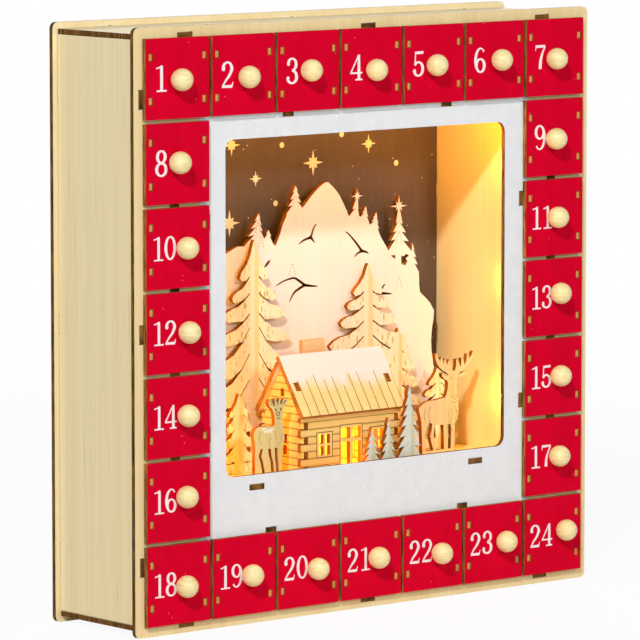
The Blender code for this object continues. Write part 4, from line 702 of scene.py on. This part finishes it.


# The log cabin: walls cut as interlocking logs, with the log lines and the frames burnt on, a
# chimney plate behind the ridge, and a roof of two plates with planks burnt on and snow paint
# that thins towards the eaves.

# Painted light in part: the cabin's walls are warmer than the other plates, partly the wood's tone and
# partly standing in for amber lamp light.
CABIN_WOOD_AND_PAINTED_GLOW = (screen(250, 208, 128), screen(240, 188, 100))
CHIMNEY_WOOD = (screen(250, 206, 148), screen(242, 194, 130))
CHIMNEY_BURNT = (screen(206, 140, 74), screen(240, 184, 116))
ROOF_WOOD = (screen(248, 216, 150), screen(240, 200, 124))
ROOF_BURNT = (screen(134, 76, 18), screen(216, 134, 44))
ROOF_SNOW = (screen(238, 224, 218), screen(250, 250, 250))
PLANK_LINES = (screen(104, 76, 24), screen(170, 146, 80))
# Painted shade beside the log lines: its colour, then how far it reaches from a line.
LOG_LINE = screen(120, 78, 26)
LOG_PAINTED_SHADE = screen(216, 164, 96)
LOG = 3.74 * MM
LOG_WAVE = 0.25 * MM
LOG_LINE_HALF = 0.16 * MM
LOG_PAINTED_SHADE_HALF = (0.2 * MM, 1.0 * MM)
CABIN_LOW, CABIN_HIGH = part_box("cabin_front_wall")
CABIN_MIDDLE = (CABIN_LOW[0] + CABIN_HIGH[0]) / 2
FLOOR_TOP = CABIN_LOW[2]
WINDOW_APART = 17.7 * MM
WINDOW_RISE = FLOOR_TOP + 13.8 * MM
WINDOW_FRAME = (5.2 * MM, 6.4 * MM)
DOOR_FRAME = (7.4 * MM, 11.4 * MM)
FRAME_LINE_HALF = 0.22 * MM
ROOF_LOW, ROOF_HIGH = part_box("cabin_roof_front")
PLANK = (ROOF_HIGH[0] - ROOF_LOW[0]) / 12
PLANK_LINE_HALF = 0.26 * MM
SNOW_WAVE = 12 * MM
BARE_EAVE = 8 * MM


def framed(finish):
    """How far a point lies outside the frames of the door and the two windows, in metres."""
    across = abs(finish.x - CABIN_MIDDLE)
    up_door = abs(finish.z - FLOOR_TOP - DOOR_FRAME[1])
    up_window = abs(finish.z - WINDOW_RISE)
    door = (across - DOOR_FRAME[0]) | (up_door - DOOR_FRAME[1])
    window = (abs(across - WINDOW_APART) - WINDOW_FRAME[0]) | (up_window - WINDOW_FRAME[1])
    return finish.math("MINIMUM", door, window)


def log_lines(finish, bare, outside=1.0):
    """Horizontal burnt lines a log apart, slightly wavy, where the point lies outside the frames, with
    painted shade on either side of each line.
    """
    wave = LOG_WAVE * finish.cloud((120.0, 120.0, 900.0), 2.0, 3.0)
    line = (abs(finish.wrapped(finish.z + wave - FLOOR_TOP, LOG)) < LOG_LINE_HALF) * outside
    # Painted shade: darker colour close to each line, where the rounded logs would turn away from the
    # light.
    from_line = abs(finish.wrapped(finish.z - FLOOR_TOP, LOG))
    shade = finish.spread(from_line, LOG_PAINTED_SHADE_HALF[1], LOG_PAINTED_SHADE_HALF[0])
    return finish.mixed(line, finish.mixed(0.4 * (shade * outside), bare, LOG_PAINTED_SHADE), LOG_LINE)


def outer_logs(finish, bare):
    """Log lines on the outer face of the back wall alone."""
    return log_lines(finish, bare, finish.facing["Y"] > 0.5)


def framed_logs(finish, bare):
    """Log lines that stop at a burnt line round the door and each window."""
    gap = framed(finish)
    return finish.mixed(abs(gap) < FRAME_LINE_HALF, log_lines(finish, bare, gap > 0.0), LOG_LINE)


def snowy_planks(finish, bare):
    """Snow paint that thins out down the slope, and burnt plank lines that start below the ridge."""
    rise = finish.z + SNOW_WAVE * finish.cloud((150.0, 20.0, 20.0), 2.0, 1.0)
    up_slope = finish.spread(rise, ROOF_LOW[2] + BARE_EAVE, ROOF_HIGH[2])
    snow = finish.spread(up_slope, 0.40, 0.95)
    flake = finish.flakes(900.0, 0.18, 0.62) * snow
    face = finish.mixed(snow, bare, finish.mixed(flake, *ROOF_SNOW))
    start = finish.cloud((170.0, 0.0, 0.0), 1.0, 2.0)
    line = abs(finish.wrapped(finish.x - ROOF_LOW[0], PLANK)) < PLANK_LINE_HALF
    line = line * (up_slope < 0.45 + 0.7 * start)
    return finish.mixed(line, face, finish.mixed(up_slope, *PLANK_LINES))


def cabin_plate(name, faces, grain, paint):
    """Plywood of the cabin's walls, warm partly in its own tone and partly with painted amber light."""
    return plywood(name, faces, grain, paint, CABIN_WOOD_AND_PAINTED_GLOW, SCENE_BURNT)


def roof_finish():
    """Roof plates: the faces look up the slope or down, the cut edges along x and down the slope."""
    finish = Finish("cabin_roof", Roughness=0.6)
    bare, streaks = wood_colour(finish, "Z", ROOF_WOOD, FEW_PORES)
    slope = math.atan2(ROOF_HIGH[2] - ROOF_LOW[2], ROOF_HIGH[1] - ROOF_LOW[1])
    face = abs(abs(finish.facing["Y"]) - math.sin(slope)) < 0.12
    burnt = burnt_colour(finish, ROOF_BURNT)
    finish.link(Base_Color=finish.mixed(face, burnt, snowy_planks(finish, bare)))
    finish.bumped(streaks, 0.03 * MM)
    return finish.material


dress(cabin_plate("cabin_front", "Y", "X", framed_logs), "cabin_front_wall")
dress(cabin_plate("cabin_back", "Y", "X", outer_logs), "cabin_back_wall")
dress(cabin_plate("cabin_gables", "X", "Y", log_lines), "cabin_left_gable", "cabin_right_gable")
dress(plywood("cabin_chimney", grain="X", shades=CHIMNEY_WOOD, burns=CHIMNEY_BURNT), "cabin_chimney")
dress(roof_finish(), "cabin_roof_front", "cabin_roof_back")


# The lamp string: a thin lacquered wire runs up behind the left rim, across and down the right
# rim, and ten lamps cast in drops of resin sit on it and glow amber.

wire = mottled("lamp_wire", 900.0, 2.0, screen(190, 130, 70), screen(160, 100, 50),
               Roughness=0.35, Metallic=0.6)
dress(wire, "light_string")

LAMP = 2.06
LAMP_LENGTH = 1.35
LAMP_TIP = 0.04
LAMP_RINGS = 14
LAMP_SIDES = 20
LAMP_INSET = 2.0
STRING_LOW, STRING_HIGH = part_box("light_string")
RUN = STRING_HIGH[0] / MM - LAMP_INSET
RUN_DEPTH = (STRING_LOW[1] - FRONT) / MM + LAMP_INSET
FLOOR_LINE = (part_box("scene_floor")[1][2] - MIDDLE) / MM
RISES = [FLOOR_LINE + (RUN - FLOOR_LINE) * (step + 0.5) / 3 for step in range(3)]
UPRIGHT_LAMPS = [(side * RUN, rise) for side in (-1, 1) for rise in RISES]
TOP_LAMPS = [(RUN * (-0.75 + 0.5 * step), RUN) for step in range(4)]


def drop(u, v, upward):
    """Lamp: an egg whose radius is a half sine of the way along it, on a wire that runs up or
    across."""
    way = np.linspace(LAMP_TIP, math.pi - LAMP_TIP, LAMP_RINGS)[:, None]
    turn = np.linspace(0, 2 * math.pi, LAMP_SIDES, endpoint=False)[None, :]
    along = LAMP * LAMP_LENGTH * np.cos(way) + 0 * turn
    side, back = LAMP * np.sin(way) * np.cos(turn), LAMP * np.sin(way) * np.sin(turn)
    across, up = (side, along) if upward else (along, side)
    return skin(upright(u + across, v + up, RUN_DEPTH + back))


def resin_finish():
    """Clear amber resin that shines from within, in patches."""
    finish = Finish("lamp_resin", Roughness=0.2, Emission_Strength=2.5)
    core = finish.cloud(700.0)
    finish.link(Base_Color=finish.mixed(core, screen(255, 214, 150), screen(250, 190, 110)),
                Emission_Color=finish.mixed(core, (1.0, 0.62, 0.16), (1.0, 0.48, 0.08)))
    return finish.material


lamps = [drop(u, v, True) for u, v in UPRIGHT_LAMPS] + [drop(u, v, False) for u, v in TOP_LAMPS]
piece("lamps", lamps, resin_finish(), smooth=True)


# The battery box behind the floor: a moulded black case, two cells in plain printed sleeves, a
# plated spring and contact, a wooden lid flush with the back, and a black slide switch.

CELL_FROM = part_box("cell_1")[0][0]
CELL_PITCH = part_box("cell_2")[0][0] - CELL_FROM
CELL_METAL = screen(200, 200, 198)
SLEEVE_DARK = screen(28, 44, 60)
SLEEVE_BAND = screen(196, 150, 60)
BAND_FROM = 0.72
BARE_ENDS = (0.8 * MM, 2.0 * MM)


def moulded_black():
    """Fine-grained black plastic."""
    finish = Finish("black_plastic", Roughness=0.5)
    grain = finish.cloud(2600.0)
    finish.link(Base_Color=finish.mixed(grain, screen(30, 30, 32), screen(46, 46, 48)))
    finish.bumped(grain, 0.02 * MM)
    return finish.material


def plated():
    """Nickel plate with faint brushing."""
    finish = Finish("plated_contact", Metallic=1.0)
    brushed = finish.cloud((200.0, 2200.0, 2200.0))
    finish.link(Base_Color=finish.mixed(brushed, screen(214, 214, 212), screen(186, 186, 184)),
                Roughness=0.22 + 0.2 * brushed)
    return finish.material


def cell_sleeve():
    """Printed sleeve: dark, with a plain coloured band at one end, and the bare metal of the ends."""
    finish = Finish("cell_sleeve", Metallic=0.5)
    along = finish.math("WRAP", finish.x - CELL_FROM, CELL_PITCH, 0.0)
    ends = (along < BARE_ENDS[0]) | (along > CELL_PITCH - BARE_ENDS[1])
    colour = finish.mixed(along > BAND_FROM * CELL_PITCH, SLEEVE_DARK, SLEEVE_BAND)
    scuffed = finish.cloud(900.0, 3.0)
    finish.link(Base_Color=finish.mixed(ends, colour, CELL_METAL), Roughness=0.25 + 0.2 * scuffed)
    return finish.material


dress(moulded_black(), "battery_case", "switch_slider")
dress(plated(), "contact_plate", "contact_spring")
dress(cell_sleeve(), "cell_1", "cell_2")
dress(plywood("battery_lid", grain="X"), "battery_lid")


# The studio: a pale seamless floor in a bright surround, a lamp high in front, a stronger one that
# rakes in from the upper left, a broad one behind, the lamp string's own small lights, and the
# camera where the photograph was taken.

FLOOR_HALF = 6.0
FLOOR_WHITE = (0.88, 0.88, 0.88, 1.0)
FULL_WHITE = (1.0, 1.0, 1.0, 1.0)
NEAR_GLOW = 0.93
CLEARING = 0.45
AMBIENT = 0.10
floor_mesh = bpy.data.meshes.new("studio_floor")
floor_mesh.from_pydata([(-FLOOR_HALF, -FLOOR_HALF, 0), (FLOOR_HALF, -FLOOR_HALF, 0),
                        (FLOOR_HALF, FLOOR_HALF, 0), (-FLOOR_HALF, FLOOR_HALF, 0)], [], [(0, 1, 2, 3)])
floor = bpy.data.objects.new("studio_floor", floor_mesh)
bpy.context.collection.objects.link(floor)


def seen_rays(nodes):
    """1 on what the camera sees, by itself or in metal or through glass, and 0 on other rays."""
    camera_ray, glossy, through = [nodes.node("ShaderNodeLightPath", out="Is %s Ray" % kind)
                                   for kind in ("Camera", "Glossy", "Transmission")]
    return camera_ray | glossy | through


stage = Finish("studio_floor", Roughness=0.9, Base_Color=FLOOR_WHITE)
floor_mesh.materials.append(stage.material)
glow = stage.node("ShaderNodeEmission", sockets={"Color": FULL_WHITE, "Strength": 1.0})
distance = stage.node("ShaderNodeVectorMath", {"operation": "LENGTH"}, {0: stage.where}, out=1)
away = stage.spread(distance, CLEARING, 3.5 * CLEARING)
share = (NEAR_GLOW + (1 - NEAR_GLOW) * away) * seen_rays(stage)
painted = Term(stage, stage.shader.outputs[0])
seen = stage.node("ShaderNodeMixShader", sockets={0: share, 1: painted, 2: glow})
stage.end(seen, "Material Output")

world = bpy.data.worlds.new("studio")
bpy.context.scene.world = world
world.use_nodes = True
surround = Nodes(world.node_tree)
strength = AMBIENT + (1 - AMBIENT) * seen_rays(surround)
backdrop = surround.node("ShaderNodeBackground", sockets={"Color": FULL_WHITE, "Strength": strength})
surround.end(backdrop, "World Output")


def add_lamp(name, kind, place, power, colour):
    """Lamp object of a kind at a place."""
    data = bpy.data.lights.new(name, kind)
    data.energy = power
    data.color = colour
    lamp = bpy.data.objects.new(name, data)
    bpy.context.collection.objects.link(lamp)
    lamp.location = Vector(place)
    return lamp


def area_lamp(name, place, aim, width, depth, power, colour=(1.0, 1.0, 1.0)):
    """Rectangular lamp at a place, turned to face a point, and unseen by the camera."""
    lamp = add_lamp(name, "AREA", place, power, colour)
    lamp.data.shape = "RECTANGLE"
    lamp.data.size = width
    lamp.data.size_y = depth
    lamp.rotation_euler = (Vector(aim) - Vector(place)).to_track_quat("-Z", "Y").to_euler()
    lamp.visible_camera = False


def ball_lamp(name, place, radius, power, colour):
    """Small ball of light."""
    add_lamp(name, "POINT", place, power, colour).data.shadow_soft_size = radius


AMBER = (1.0, 0.44, 0.01)
GOLD = (1.0, 0.60, 0.06)
CENTRE = Vector((0.0, FRONT, MIDDLE))
# Each studio lamp: its place from the panel's middle, its width in metres and its watts.
STUDIO_LAMPS = {"front": ((0.05, -2.95, 1.25), 0.3, 27.0),
                "raking": ((-3.1, -2.6, 2.8), 0.3, 154.0),
                "behind": ((2.6, 2.9, 0.6), 1.2, 68.0)}
for name, (place, width, power) in STUDIO_LAMPS.items():
    area_lamp(name, CENTRE + Vector(place), CENTRE, width, width, power)

# A dim strip under the top rim tints the sky: its place and aim, as (u, v, depth) in mm.
STRIP_PLACE = (10, RUN - 1.0, 54)
STRIP_AIM = (10, 20, 64)
STRIP_POWER = 0.014
area_lamp("sky_glow", upright(*STRIP_PLACE), upright(*STRIP_AIM), 150 * MM, 6 * MM, STRIP_POWER, AMBER)

# The string's lights sit behind the drops: watts, up the left rim, up the right one, then across.
UPRIGHT_GLOWS = (0.075, 0.026, 0.026, 0.018, 0.007, 0.007)
TOP_GLOWS = (0.024, 0.024, 0.024, 0.055)
DROP_GAP = 1.6
BEHIND_DROP = RUN_DEPTH + LAMP + DROP_GAP
glows = [(place, power, GOLD) for place, power in zip(UPRIGHT_LAMPS, UPRIGHT_GLOWS)]
glows += [(place, power, AMBER) for place, power in zip(TOP_LAMPS, TOP_GLOWS)]
for count, ((u, v), power, colour) in enumerate(glows):
    ball_lamp("glow_%02d" % count, upright(u, v, BEHIND_DROP), 1.2 * MM, power, colour)

# One more light inside the cabin shows in its windows and door.
HEARTH_BEHIND = 15 * MM
HEARTH_POWER = 0.075
hearth = (CABIN_MIDDLE, CABIN_HIGH[1] + HEARTH_BEHIND, (CABIN_LOW[2] + CABIN_HIGH[2]) / 2)
ball_lamp("hearth", hearth, 3 * MM, HEARTH_POWER, GOLD)

CAMERA_PLACE = (-1.76473, -2.08612, 0.45456)
AZIMUTH = math.radians(-40.087)
TILT = math.radians(90 - 6.475)
LENS = 303.78
SENSOR = 36.0
FAR_END = 50.0
camera_data = bpy.data.cameras.new("camera")
camera_data.lens = LENS
camera_data.sensor_width = SENSOR
camera_data.clip_end = FAR_END
camera = bpy.data.objects.new("camera", camera_data)
bpy.context.collection.objects.link(camera)
turn = Matrix.Rotation(AZIMUTH, 4, "Z") @ Matrix.Rotation(TILT, 4, "X")
camera.matrix_world = Matrix.Translation(CAMERA_PLACE) @ turn
bpy.context.scene.camera = camera
bpy.context.scene.view_settings.view_transform = "Standard"
